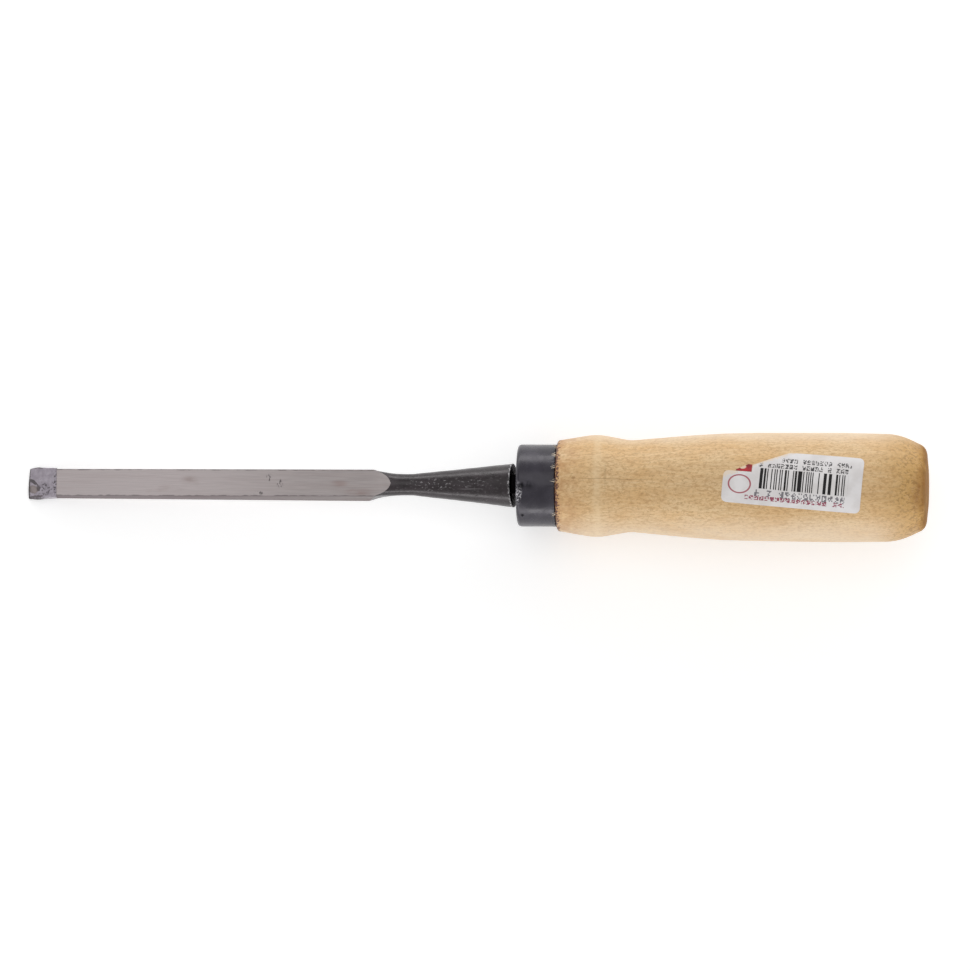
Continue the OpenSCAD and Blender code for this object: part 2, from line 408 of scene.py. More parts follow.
class Nodes:
    """Nodes of one material, group or world, added and linked by short calls."""

    def __init__(self, tree: bpy.types.NodeTree) -> None:
        """Empties the tree that the nodes go into."""
        self.tree = tree
        tree.nodes.clear()

    def add(self, kind: str, inputs: Mapping[Any, Any] | None = None, **options: Any) -> bpy.types.Node:
        """Adds a node.

        Args:
            kind: Type of the node, without its ShaderNode prefix.
            inputs: Values, or sockets to link, by the name or number of each input.
            options: The node's own settings.

        Returns:
            The node.
        """
        node = self.tree.nodes.new("ShaderNode" + kind)
        for name, value in options.items():
            setattr(node, name, value)
        for key, value in (inputs or {}).items():
            if isinstance(value, Socket):
                self.tree.links.new(value, node.inputs[key])
            else:
                node.inputs[key].default_value = value
        return node

    def place(self, where: Socket, origin: Sequence[float] = ZERO, turn: Sequence[float] = ZERO,
              size: Sequence[float] = UNIT) -> Socket:
        """Reads coordinates in a frame with its own origin, turn and size.

        Args:
            where: Coordinates.
            origin: The frame's origin.
            turn: The frame's turn about each axis.
            size: Length of the frame's unit along each axis.

        Returns:
            Coordinates in the frame.
        """
        return self.add("Mapping", {"Vector": where, "Location": origin, "Rotation": turn, "Scale": size},
                        vector_type="TEXTURE").outputs[0]

    def remap(self, value: Socket, low: float, high: float, to_low: float = 0.0,
              to_high: float = 1.0) -> Socket:
        """Turns a range of values smoothly into another, and holds its ends.

        Args:
            value: What is turned.
            low: Start of the range.
            high: End of the range.
            to_low: Result at the start.
            to_high: Result at the end.

        Returns:
            The result.
        """
        return self.add("MapRange", {0: value, 1: low, 2: high, 3: to_low, 4: to_high},
                        interpolation_type="SMOOTHSTEP").outputs[0]

    def band(self, value: Socket, low: float, high: float, soft: float = 0.00004) -> Socket:
        """Masks values between two limits, with an edge that fades over a width."""
        half = (high - low) / 2
        return self.remap(self.size(self.minus(value, (low + high) / 2)), half - soft, half + soft, 1, 0)

    def math(self, operation: str, *values: Socket | float) -> Socket:
        """Gives the result of one operation on one, two or three values."""
        return self.add("Math", dict(enumerate(values)), operation=operation).outputs[0]

    def times(self, *values: Socket | float) -> Socket:
        """Gives the product of some values."""
        return reduce(lambda a, b: self.math("MULTIPLY", a, b), values)

    def plus(self, *values: Socket | float) -> Socket:
        """Gives the sum of some values."""
        return reduce(lambda a, b: self.math("ADD", a, b), values)

    def minus(self, whole: Socket | float, part: Socket | float) -> Socket:
        """Takes one value from another."""
        return self.math("SUBTRACT", whole, part)

    def size(self, value: Socket) -> Socket:
        """Gives a value without its sign."""
        return self.math("ABSOLUTE", value)

    def reach(self, where: Socket) -> Socket:
        """Gives the distance of some coordinates from their origin."""
        return self.add("VectorMath", {0: where}, operation="LENGTH").outputs["Value"]

    def parts(self, where: Socket) -> tuple[Socket, Socket, Socket]:
        """Splits coordinates into their three parts."""
        return tuple(self.add("SeparateXYZ", {0: where}).outputs)

    def mix(self, share: Socket | float, under: Socket | Colour, over: Socket | Colour) -> Socket:
        """Shows a share of the upper of two colours."""
        return self.add("Mix", {0: share, 6: under, 7: over}, data_type="RGBA").outputs[2]


class Effects:
    """Shader groups that several finishes share, each built once."""

    def __init__(self) -> None:
        """Builds every group."""
        self.streaks = self.make_streaks()
        self.specks = self.make_specks()
        self.worn = self.make_worn()

    @staticmethod
    def start(name: str, output: str, **inputs: float) -> tuple[Nodes, dict[str, Socket], Socket]:
        """Starts a group that reads coordinates and some numbers.

        Args:
            name: Name of the group.
            output: Name of the output.
            inputs: First value of each number.

        Returns:
            The group's nodes, its inputs by name, and the socket of its output.
        """
        tree = bpy.data.node_groups.new(name, "ShaderNodeTree")
        tree.interface.new_socket("Place", in_out="INPUT", socket_type="NodeSocketVector")
        for key, value in inputs.items():
            socket = tree.interface.new_socket(key, in_out="INPUT", socket_type="NodeSocketFloat")
            socket.default_value = value
        tree.interface.new_socket(output, in_out="OUTPUT", socket_type="NodeSocketFloat")
        n = Nodes(tree)
        entry, leave = tree.nodes.new("NodeGroupInput"), tree.nodes.new("NodeGroupOutput")
        return n, {key: entry.outputs[key] for key in ("Place", *inputs)}, leave.inputs[0]

    def make_streaks(self) -> bpy.types.NodeTree:
        """Lines along the tool: grinding marks, wood fibres, drag marks.

        Returns:
            The group.
        """
        n, given, out = self.start("streaks", "Lines", Fineness=1000.0, Stretch=20.0, Contrast=0.2)
        stretch = n.add("CombineXYZ", {0: given["Stretch"], 1: 1.0, 2: 1.0}).outputs[0]
        where = n.add("VectorMath", {0: given["Place"], 1: stretch}, operation="DIVIDE").outputs[0]
        wave = n.add("TexNoise", {"Vector": where, "Scale": given["Fineness"], "Detail": 3.0,
                                  "Roughness": 0.6}).outputs[0]
        grown = n.math("DIVIDE", n.minus(wave, 0.5), given["Contrast"])
        n.tree.links.new(n.remap(grown, -1, 1), out)
        return n.tree

    def make_specks(self) -> bpy.types.NodeTree:
        """Scattered small marks: pits, flecks of scale, pores.

        Returns:
            The group.
        """
        n, given, out = self.start("specks", "Mask", Fineness=1000.0, Amount=0.3, Softness=0.05)
        cloud = n.add("TexNoise", {"Vector": given["Place"], "Scale": given["Fineness"], "Detail": 2.0,
                                   "Roughness": 0.7}).outputs[0]
        above = n.math("DIVIDE", n.minus(cloud, n.minus(1.0, given["Amount"])), given["Softness"])
        n.tree.links.new(n.remap(above, 0, 1), out)
        return n.tree

    def make_worn(self) -> bpy.types.NodeTree:
        """Broken band along sharp edges, where a coat or scale is rubbed off.

        Returns:
            The group.
        """
        n, given, out = self.start("worn_edge", "Mask", Reach=0.0002, Fineness=2000.0, Evenness=0.5)
        soft = n.add("Bevel", {"Radius": given["Reach"]}, samples=6).outputs[0]
        true = n.add("NewGeometry").outputs["Normal"]
        facing = n.add("VectorMath", {0: soft, 1: true}, operation="DOT_PRODUCT").outputs["Value"]
        cloud = n.add("TexNoise", {"Vector": given["Place"], "Scale": given["Fineness"],
                                   "Detail": 2.0}).outputs[0]
        broken = n.remap(n.plus(cloud, given["Evenness"]), 0.75, 1.1)
        n.tree.links.new(n.times(n.remap(facing, 0.72, 0.98, 1, 0), broken), out)
        return n.tree


class Coats(Nodes):
    """Nodes of one finish, read along the tool, whose colour is laid on coat by coat."""

    def __init__(self, tree: bpy.types.NodeTree, axis: ToolAxis, effects: Effects, first: Colour) -> None:
        """Reads the coordinates and lays the first colour.

        Args:
            tree: The material's tree.
            axis: The tool's axis.
            effects: The shared groups.
            first: Colour beneath all others.
        """
        super().__init__(tree)
        self.effects = effects
        self.where = self.place(self.add("TexCoord").outputs["Object"], axis.origin, (0, -axis.tilt, 0))
        self.along, self.across, self.up = self.parts(self.where)
        self.colour: Socket | Colour = first

    def coat(self, colour: Colour, *masks: Socket | float) -> None:
        """Lays a colour over the others, as far as the product of its masks shows it."""
        self.colour = self.mix(self.times(*masks), self.colour, colour)

    def noise(self, width: float, detail: float = 3.0, stretch: float = 1.0) -> Socket:
        """Gives soft noise about 0.5.

        Args:
            width: Width of one patch.
            detail: How many finer layers are added.
            stretch: How many times longer than wide a patch is.

        Returns:
            The noise.
        """
        where = self.where if stretch == 1 else self.place(self.where, size=(stretch, 1, 1))
        return self.add("TexNoise", {"Vector": where, "Scale": 1 / width, "Detail": detail}).outputs[0]

    def patches(self, width: float, span: Span, to: Span = (0, 1), **shape: float) -> Socket:
        """Turns a span of soft noise of some width into another span."""
        return self.remap(self.noise(width, **shape), *span, *to)

    def spot(self, place: Place, soft: float, turn: float = 0.0) -> Socket:
        """Masks an egg-shaped place.

        Args:
            place: Middle of the place, and its reach along each axis.
            soft: Share of the reach over which the mask fades.
            turn: Turn of the place about the upright axis.

        Returns:
            The mask, 1 inside.
        """
        origin, size = place
        return self.remap(self.reach(self.place(self.where, origin, (0, 0, turn), size)), 1 - soft, 1, 1, 0)

    def effect(self, group: bpy.types.NodeTree, where: Socket, **inputs: float) -> Socket:
        """Places a shared effect with its own values."""
        return self.add("Group", {"Place": where, **inputs}, node_tree=group).outputs[0]

    def streaks(self, fineness: float, stretch: float, contrast: float) -> Socket:
        """Gives lines along the tool."""
        return self.effect(self.effects.streaks, self.where, Fineness=fineness, Stretch=stretch,
                           Contrast=contrast)

    def specks(self, fineness: float, amount: float, softness: float, **placing: Sequence[float]) -> Socket:
        """Masks small marks, in a frame that can be moved, turned and stretched.

        Args:
            fineness: Marks in a metre.
            amount: How much they cover.
            softness: How softly they end.
            placing: Origin, turn and size of the frame.

        Returns:
            The mask.
        """
        where = self.place(self.where, **placing) if placing else self.where
        return self.effect(self.effects.specks, where, Fineness=fineness, Amount=amount, Softness=softness)

    def worn(self, reach: float, fineness: float, evenness: float) -> Socket:
        """Masks the rubbed edges."""
        return self.effect(self.effects.worn, self.where, Reach=reach, Fineness=fineness, Evenness=evenness)

    def bump(self, height: Socket, depth: float, under: Socket | None = None) -> Socket:
        """Turns a height into a normal.

        Args:
            height: The height.
            depth: Depth that a height of 1 stands for.
            under: Normal of a coarser bump beneath, if any.

        Returns:
            The normal.
        """
        beneath = {} if under is None else {"Normal": under}
        return self.add("Bump", {"Height": height, "Distance": depth, "Strength": 1.0, **beneath}).outputs[0]


@dataclass(frozen=True)
class Finish:
    """Surface of one kind of material, from its first colour up."""

    axis: ToolAxis
    effects: Effects
    name: str = "finish"
    body: Colour = WHITE
    roughness: float = 0.5
    metallic: float = 0.0
    coat: float = 0.0
    coat_roughness: float = 0.2
    glow: float = 0.0
    gleam: Colour = WHITE

    def make(self) -> bpy.types.Material:
        """Builds the material.

        Returns:
            The material.
        """
        material = bpy.data.materials.new(self.name)
        material.use_nodes = True
        n = Coats(material.node_tree, self.axis, self.effects, self.body)
        shader = n.add("BsdfPrincipled", {
            "Roughness": self.roughness, "Metallic": self.metallic, "Coat Weight": self.coat,
            "Coat Roughness": self.coat_roughness, "Emission Strength": self.glow,
            "Specular Tint": self.gleam})
        n.add("OutputMaterial", {"Surface": shader.outputs[0]})
        varied = self.layers(n)
        for name, value in {"Base Color": n.colour, **varied}.items():
            n.tree.links.new(value, shader.inputs[name])
        return material

    def about(self, below: float, above: float) -> Span:
        """Gives a span about the finish's roughness."""
        return self.roughness - below, self.roughness + above

    def layers(self, n: Coats) -> dict[str, Socket]:
        """Lays the colours on, and gives what else varies.

        Args:
            n: The finish's coats.

        Returns:
            What else varies, by the shader's inputs.
        """
        raise NotImplementedError


@dataclass(frozen=True)
class GroundSteel(Finish):
    """Steel ground lengthwise on a belt, with a few stains and marks."""

    name: str = "ground_steel"
    roughness: float = 0.42
    metallic: float = 1.0
    body: Colour = paint("d2c8c8")
    root_tone: Colour = paint("a9a1a0")
    stain_tone: Colour = paint("8f7670")
    # Dark tone for the grinding lines and for the painted shade along the face edges.
    edge_tone: Colour = paint("6a6465")
    mark_tone: Colour = paint("5f5a5b")
    tone_run: Span = (-0.106, -0.040)
    mottle: float = 0.10
    widening: float = 0.0024
    lean: float = 0.0787
    rim: float = 0.00408
    rim_wander: Span = (-0.00016, 0.00010)
    stains: Sequence[Place] = (
        ((-0.0496, -0.0002, 0.003), (0.0034, 0.0013, 0.004)),
        ((-0.0440, -0.0026, 0.003), (0.0056, 0.0014, 0.004)),
        ((-0.1010, -0.0016, 0.002), (0.0100, 0.0016, 0.004)),
        ((-0.0914, 0.0003, 0.002), (0.0036, 0.0022, 0.004)))
    marks: Sequence[Place] = (
        ((-0.0691, 0.0014, 0.002), (0.0013, 0.0014, 0.004)),
        ((-0.0662, -0.0002, 0.002), (0.0014, 0.0016, 0.004)),
        ((-0.0722, -0.0029, 0.002), (0.0022, 0.0007, 0.004)))

    def layers(self, n: Coats) -> dict[str, Socket]:
        """Gives grinding lines, tone along the blade, stains, marks and painted shade along the edges of the
        ground faces.

        Args:
            n: The finish's coats.

        Returns:
            What else varies, by the shader's inputs.
        """
        n.coat(self.root_tone, n.remap(n.along, *self.tone_run))
        fine = n.streaks(fineness=4200.0, stretch=70.0, contrast=0.24)
        broad = n.streaks(fineness=900.0, stretch=30.0, contrast=0.25)
        n.coat(self.edge_tone, n.remap(fine, 0, 1, 0, 0.13))
        n.coat(self.stain_tone, n.remap(broad, 0.45, 1, 0, self.mottle))
        cloud = n.patches(0.0022, (0.35, 0.65), stretch=3)
        for place in self.stains:
            n.coat(self.stain_tone, n.spot(place, 0.8), cloud, 0.42)
        ticks = n.specks(fineness=2200.0, amount=0.46, softness=0.04, size=(1, 2.5, 1))
        for place in self.marks:
            n.coat(self.mark_tone, n.spot(place, 0.6), ticks, 0.85)
        # Painted shade: the ground faces darken toward their long edges, where the edge turns away from the
        # light.
        slant = n.minus(n.times(n.up, self.lean), n.times(n.along, self.widening))
        reach = n.plus(n.size(n.across), slant, n.patches(0.0009, NOISE, self.rim_wander, stretch=2.5))
        n.coat(self.edge_tone, n.remap(reach, self.rim - 0.00034, self.rim - 0.00010, 0, 0.72))
        return {"Roughness": n.remap(fine, 0, 1, *self.about(0.06, 0.08)), "Normal": n.bump(fine, 0.000003)}


@dataclass(frozen=True)
class SideSteel(GroundSteel):
    """Sides of the blade, left rougher and browner than its faces."""

    name: str = "side_steel"
    roughness: float = 0.55
    mottle: float = 0.50
    rim: float = 1.0
    body: Colour = paint("82787a")
    root_tone: Colour = paint("8a8281")
    stain_tone: Colour = paint("6f5a5c")


@dataclass(frozen=True)
class ForgeScale(Finish):
    """Black skin that the forge leaves, with flecks, scratches and rubbed edges."""

    name: str = "forge_scale"
    roughness: float = 0.22
    gleam: Colour = (1.0, 0.965, 0.98, 1.0)
    body: Colour = paint("241e20")
    patch: Colour = paint("30292c")
    fleck: Colour = paint("a8a4a7")
    bare: Colour = paint("c9c6c8")
    # Near black: painted shade for the gap between the bolster and the ferrule.
    painted_gap_shade: Colour = paint("080708")
    crown: Place = ((-0.0240, -0.0003, 0.003), (0.0080, 0.0026, 0.006))
    slope: Place = ((-0.0120, -0.0002, 0.005), (0.0110, 0.0022, 0.006))
    scratch: Place = ((-0.0130, -0.0017, 0.0042), (0.0046, 0.00007, 0.004))
    low_end: Triple = (-0.0003, 0.0, -0.00625)
    end_lean: float = math.radians(8.5)
    end_wander: Span = (-0.00022, 0.00022)
    end_rim: Span = (-0.00038, -0.00020)
    gap: Span = (-0.0029, -0.0027)
    gap_radius: float = 0.0057

    def layers(self, n: Coats) -> dict[str, Socket]:
        """Gives patches of tone, light flecks on the crown, a scratch, bare edges and painted shade in the
        gap before the ferrule.

        Args:
            n: The finish's coats.

        Returns:
            What else varies, by the shader's inputs.
        """
        n.coat(self.patch, n.patches(0.0024, (0.4, 0.65), detail=4, stretch=2))
        flecks = n.specks(fineness=2100.0, amount=0.41, softness=0.10, size=(1.5, 1, 1))
        share = n.plus(n.spot(self.crown, 0.7), n.times(n.spot(self.slope, 0.7), 0.6), 0.10)
        n.coat(self.fleck, flecks, share, 0.75)
        n.coat(self.fleck, n.spot(self.scratch, 0.6), 0.6)
        n.coat(self.bare, n.worn(reach=0.00026, fineness=2400.0, evenness=0.55))
        behind = n.parts(n.place(n.where, self.low_end, (0, -self.end_lean, 0)))[0]
        ragged = n.plus(behind, n.patches(0.0007, NOISE, self.end_wander))
        n.coat(self.bare, n.remap(ragged, *self.end_rim), n.patches(0.0005, (0.40, 0.55), detail=2), 0.85)
        # Painted shade: the tang and the bolster's end inside the gap are painted near black and made
        # metallic there, standing for the shadow in the gap.
        radius = n.reach(n.add("CombineXYZ", {1: n.across, 2: n.up}).outputs[0])
        gap = n.times(n.remap(n.along, *self.gap),
                      n.remap(radius, self.gap_radius, self.gap_radius + 0.0002, 1, 0))
        n.coat(self.painted_gap_shade, gap)
        coarse = n.bump(n.noise(0.0014, stretch=1.6), 0.000014)
        return {"Roughness": n.patches(0.0012, NOISE, self.about(0.04, 0.10), stretch=1.5),
                "Metallic": gap, "Normal": n.bump(flecks, 0.00003, coarse)}


@dataclass(frozen=True)
class FerrulePlastic(Finish):
    """Dark moulded plastic with scuffs, a smudge and a chalky front edge."""

    name: str = "ferrule_plastic"
    roughness: float = 0.24
    gleam: Colour = (1.0, 0.97, 1.0, 1.0)
    body: Colour = paint("26232c")
    bloom: Colour = paint("37343d")
    scuff: Colour = paint("b4b2b6")
    smudge: Colour = paint("0b0b0d")
    rubbed: Place = ((0.0006, -0.0036, 0.0105), (0.0015, 0.0040, 0.003))
    soiled: Place = ((0.0024, -0.0014, 0.0112), (0.0040, 0.0020, 0.003))
    pit: Place = ((0.0018, -0.0092, 0.0065), (0.0006, 0.0005, 0.001))

    def layers(self, n: Coats) -> dict[str, Socket]:
        """Gives cloudy bloom, chalky scuffs on the front edge, a smudge and a pit.

        Args:
            n: The finish's coats.

        Returns:
            What else varies, by the shader's inputs.
        """
        n.coat(self.bloom, n.patches(0.006, (0.35, 0.7)))
        rubs = n.specks(fineness=1900.0, amount=0.48, softness=0.04)
        n.coat(self.scuff, rubs, n.spot(self.rubbed, 0.5))
        soil = n.times(n.spot(self.soiled, 0.9), n.patches(0.0015, (0.3, 0.6)))
        n.coat(self.smudge, soil, 0.85)
        pit = n.spot(self.pit, 0.5)
        n.coat(self.smudge, pit, 0.8)
        n.coat(self.scuff, n.worn(reach=0.00025, fineness=1500.0, evenness=0.35), 0.6)
        rough = n.plus(n.patches(0.0025, NOISE, self.about(0.05, 0.09)), n.times(soil, 0.25))
        skin = n.bump(n.noise(0.0008), 0.000010)
        return {"Roughness": rough, "Metallic": n.times(n.math("MAXIMUM", soil, pit), 0.85),
                "Normal": n.bump(n.minus(1.0, pit), 0.0001, skin)}


@dataclass(frozen=True)
class TurnedWood(Finish):
    """Pale hardwood, turned and sanded: rings, fibres, pores and soft blotches."""

    name: str = "turned_wood"
    roughness: float = 0.50
    coat: float = 0.12
    coat_roughness: float = 0.35
    body: Colour = paint("ddb47b")
    pale: Colour = paint("e3c79b")
    deep: Colour = paint("b0844f")
    # Dark tone of pores, cracks and flecks, also used for the painted shade line behind the bead's crest.
    pore_and_shade: Colour = paint("8f6a39")
    burnt: Colour = paint("b07a45")
    end_tone: Colour = paint("c4964c")
    knot_tone: Colour = paint("925f22")
    # Pale tone: painted highlight toward the sides of the handle.
    painted_side_light: Colour = paint("efdcc4")
    # Dark seam line: partly stain, partly painted shade in the joint.
    seam_stain_and_shade: Colour = paint("4e2527")
    heart: Triple = (0, 0.036, -0.040)
    heart_turn: Triple = (0, 0.03, 0.02)
    crack: Place = ((0.0284, 0.0001, 0.0137), (0.0158, 0.00010, 0.004))
    chip: Place = ((0.0162, 0.0004, 0.0135), (0.0008, 0.00045, 0.004))
    # Painted shade line just behind the bead's crest.
    crest_shade_line: Place = ((0.0250, 0.0012, 0.0138), (0.0006, 0.0052, 0.004))
    # Where the painted highlight on the bead's crest lies.
    crest_x: float = 0.0227
    crest_half: float = 0.0017
    sides: Span = (0.0090, 0.0145)
    butt_run: Span = (0.096, 0.1125)
    butt_rim: Span = (0.1120, 0.1134)
    spots: Sequence[Place] = (
        ((0.1120, 0.0035, 0.0100), (0.0012, 0.0016, 0.006)),
        ((0.1118, -0.0012, 0.0100), (0.0010, 0.0012, 0.006)),
        ((0.1108, -0.0042, 0.0100), (0.0014, 0.0012, 0.006)))
    tint_run: Span = (0.0125, 0.0205)
    seam_wander: Span = (-0.0007, 0.0007)
    seam_glow: Span = (0.0114, 0.0127)
    seam_line: Span = (0.01145, 0.0117)

    def layers(self, n: Coats) -> dict[str, Socket]:
        """Gives rings, fibres, pores, a crack, a painted highlight on the bead's crest with a painted shade
        line behind it, painted highlights toward the sides, a seam line that is partly stain and partly
        painted shade, and a darker butt.

        Args:
            n: The finish's coats.

        Returns:
            What else varies, by the shader's inputs.
        """
        blotch = n.noise(0.006, 4, 2.2)
        n.coat(self.pale, n.remap(blotch, *NOISE, 0.15, 0.75))
        n.coat(self.deep, self.rings(n))
        fibre, pores = self.grain(n)
        # Painted highlight: a pale band along the bead's crest, where the light catches it.
        off = n.size(n.minus(n.along, self.crest_x))
        crest = n.remap(off, 0.1 * self.crest_half, self.crest_half, 0.55, 0)
        n.coat(self.pale, crest, n.patches(0.0016, (0.35, 0.6), (0.35, 1)))
        # Painted shade: a dark line just behind the crest, where the bead turns down into the waist.
        n.coat(self.pore_and_shade, n.spot(self.crest_shade_line, 0.8), n.remap(blotch, 0.2, 0.6), 0.28)
        crack = n.spot(self.crack, 0.6)
        n.coat(self.pore_and_shade, crack, 0.70)
        n.coat(self.pore_and_shade, n.spot(self.chip, 0.6), 0.55)
        # Painted highlight: the wood pales toward the sides, which face the low side lamps.
        n.coat(self.painted_side_light, n.remap(n.size(n.across), *self.sides, 0, 0.50),
               n.remap(blotch, 0.1, 0.6, 0.6, 1))
        self.butt(n, blotch)
        self.seam(n)
        rough = n.plus(n.remap(fibre, 0, 1, *self.about(0.05, 0.08)),
                       n.remap(n.along, 0.1110, 0.1128, 0, 0.35))
        return {"Roughness": rough, "Coat Weight": n.remap(n.along, 0.1110, 0.1124, self.coat, 0),
                "Normal": n.bump(n.minus(fibre, n.plus(pores, crack)), 0.000012)}

    def rings(self, n: Coats) -> Socket:
        """Gives the share of the dark tone in each growth ring.

        Args:
            n: The wood's coats.

        Returns:
            The share.
        """
        wave = n.add("TexWave", {"Vector": n.place(n.where, self.heart, self.heart_turn), "Scale": 95.0,
                                 "Distortion": 0.8, "Detail": 3.0, "Detail Scale": 0.9},
                     wave_type="RINGS", rings_direction="X", wave_profile="SIN").outputs[1]
        return n.remap(wave, 0.3, 1.0, 0, 0.12)

    def grain(self, n: Coats) -> tuple[Socket, Socket]:
        """Lays short fibres, pale veins, flecks and pores over the wood.

        Args:
            n: The wood's coats.

        Returns:
            The fibres and the pores.
        """
        fibre = n.streaks(fineness=3400.0, stretch=4.0, contrast=0.20)
        n.coat(self.deep, n.remap(fibre, 0.1, 1.0, 0.0, 0.29))
        vein = n.streaks(fineness=1700.0, stretch=11.0, contrast=0.22)
        n.coat(self.pale, n.remap(vein, 0.5, 1.0, 0, 0.38))
        n.coat(self.deep, n.remap(vein, 0.0, 0.45, 0.26, 0))
        n.coat(self.deep, n.specks(fineness=1500.0, amount=0.48, softness=0.07, size=(1.7, 1, 1)), 0.44)
        pores = n.specks(fineness=3800.0, amount=0.38, softness=0.06, size=(4, 1, 1))
        n.coat(self.pore_and_shade, pores, 0.50)
        return fibre, pores

    def butt(self, n: Coats, blotch: Socket) -> None:
        """Darkens and mottles the wood toward the struck face.

        Args:
            n: The wood's coats.
            blotch: Soft noise that breaks the edge up.
        """
        shifted = n.plus(n.along, n.remap(blotch, 0, 1, -0.005, 0.005))
        share = n.remap(shifted, *self.butt_run, 0, 0.80)
        n.coat(self.end_tone, share)
        n.coat(self.pore_and_shade, share,
               n.specks(fineness=1300.0, amount=0.50, softness=0.10, size=(1.4, 1, 1)), 0.75)
        n.coat(self.body, share, n.specks(fineness=1300.0, amount=0.46, softness=0.08, origin=(0.02, 0.01, 0),
                                          size=(2.6, 1, 1)), 0.6)
        for place in self.spots:
            n.coat(self.knot_tone, n.spot(place, 0.8), n.remap(blotch, 0.25, 0.6, 0.4, 1), 0.55)
        n.coat(self.knot_tone, n.remap(shifted, 0.1090, 0.1150, 0, 0.55))
        n.coat(self.knot_tone, n.remap(n.along, *self.butt_rim, 0, 0.6), n.remap(blotch, 0.35, 0.6, 0.2, 1))
        n.coat(self.pore_and_shade, self.rings(n), n.remap(n.along, 0.1122, 0.1134, 0, 4))

    def seam(self, n: Coats) -> None:
        """Darkens the front edge in a ragged line, partly stain and partly painted shade of the seam, with an
        orange tint behind it.

        Args:
            n: The wood's coats.
        """
        n.coat(self.burnt, n.remap(n.along, *self.tint_run, 0.46, 0), n.patches(0.003, (0.3, 0.6)))
        ragged = n.plus(n.along, n.patches(0.00055, NOISE, self.seam_wander, detail=1))
        n.coat(self.burnt, n.remap(ragged, *self.seam_glow, 0.55, 0))
        # Stain and painted shade: the dark line at the seam stands partly for the wood's stain and partly for
        # the shadow in the joint under the ferrule.
        n.coat(self.seam_stain_and_shade, n.remap(ragged, *self.seam_line, 1, 0),
               n.patches(0.0009, (0.32, 0.55), (0.65, 0.98)))


@dataclass(frozen=True)
class TornWood(Finish):
    """Raw torn fibres: pale, dry and a little uneven in tone."""

    name: str = "torn_wood"
    roughness: float = 0.8
    body: Colour = paint("efe3d0")
    dark: Colour = paint("c9ae86")

    def layers(self, n: Coats) -> dict[str, Socket]:
        """Gives streaky cream tones.

        Args:
            n: The finish's coats.

        Returns:
            What else varies, by the shader's inputs.
        """
        lines = n.streaks(fineness=5000.0, stretch=6.0, contrast=0.25)
        n.coat(self.dark, n.remap(lines, 0.3, 1.0, 0, 0.6))
        return {"Normal": n.bump(lines, 0.00001)}


@dataclass(frozen=True)
class Drop:
    """Blot of thicker lacquer, or a painted highlight on one: where it lies, its turn, its tone and how much
    of it shows.
    """

    place: Place
    turn: float
    tone: Colour
    share: float


@dataclass(frozen=True)
class Lacquer(Finish):
    """Dipped lacquer on the cutting edge: lilac grey, crazed and pitted."""

    name: str = "dipped_lacquer"
    roughness: float = 0.34
    body: Colour = paint("a8a0aa")
    craze: Colour = paint("756c76")
    pit_tone: Colour = paint("3f393c")
    # Near black: painted shade on the rounded front and sides of the skin.
    rim: Colour = paint("352f2e")
    blots_and_highlight: Sequence[Drop] = (
        Drop(((-0.1353, -0.0017, -0.002), (0.0023, 0.0019, 0.004)), 0.0, paint("7c706c"), 0.80),
        # The second, lighter blot is a painted highlight on the raised drop.
        Drop(((-0.1352, -0.0018, -0.002), (0.0008, 0.0016, 0.004)), 0.5, paint("968b8a"), 0.55),
        Drop(((-0.1354, 0.0004, -0.002), (0.0026, 0.0007, 0.004)), -0.62, paint("3b3435"), 0.85),
        Drop(((-0.1340, -0.0014, -0.002), (0.0008, 0.0018, 0.004)), 0.35, paint("4a4142"), 0.75),
        Drop(((-0.1347, -0.0038, -0.002), (0.0034, 0.0006, 0.004)), 0.05, paint("4a4243"), 0.75))
    pitted: Sequence[Place] = (
        ((-0.1290, -0.0005, 0.001), (0.0011, 0.0042, 0.004)),
        ((-0.1322, -0.0018, 0.000), (0.0030, 0.0024, 0.004)))
    rim_wander: Span = (-0.00012, 0.00012)
    front_shade_run: Span = (-0.13650, -0.13618)
    side_shade_run: Span = (0.00406, 0.00428)
    side_fade: Span = (-0.1332, -0.1318)

    def layers(self, n: Coats) -> dict[str, Socket]:
        """Gives cloudy tone, crazing, dark pits, painted shade along the rounded front and sides, and a brown
        drop at one front corner with a painted highlight on it.

        Args:
            n: The finish's coats.

        Returns:
            What else varies, by the shader's inputs.
        """
        cloud = n.noise(0.0014, 4)
        n.coat(self.craze, n.remap(cloud, *NOISE, 0, 0.45))
        crazing = n.specks(fineness=2200.0, amount=0.40, softness=0.06)
        n.coat(self.craze, crazing, 0.45)
        near, far = (n.spot(place, 0.6) for place in self.pitted)
        pits = n.specks(fineness=1900.0, amount=0.46, softness=0.04, turn=(0, 0, 0.6), size=(1.6, 1, 1))
        pits = n.times(pits, n.plus(n.math("MAXIMUM", near, far), 0.06))
        n.coat(self.pit_tone, pits, 0.9)
        for drop in self.blots_and_highlight:
            spread = n.plus(n.spot(drop.place, 0.9, drop.turn), n.remap(cloud, 0.2, 0.8, -0.30, 0.30))
            n.coat(drop.tone, n.remap(spread, 0.25, 0.50, 0, drop.share))
        # Painted shade: the rounded front and the sides of the skin are darkened where they turn away from
        # the light.
        wander = n.patches(0.0007, NOISE, self.rim_wander, detail=2)
        front = n.remap(n.plus(n.along, wander), *self.front_shade_run, 0.85, 0)
        side = n.times(n.remap(n.plus(n.size(n.across), wander), *self.side_shade_run, 0, 0.80),
                       n.remap(n.along, *self.side_fade, 1, 0.4))
        n.coat(self.rim, n.math("MAXIMUM", front, side))
        relief = n.minus(n.noise(0.0009, 4), n.times(pits, 2.0))
        return {"Roughness": n.remap(n.plus(pits, crazing), 0, 1, *self.about(0, 0.15)),
                "Normal": n.bump(relief, 0.00006)}


@dataclass(frozen=True)
class PrintRow:
    """Row of meaningless marks, where a label carries a line of print."""

    start: float
    end: float
    middle: float
    height: float
    pitch: float
    filled: float
    ink: Colour
    seed: float


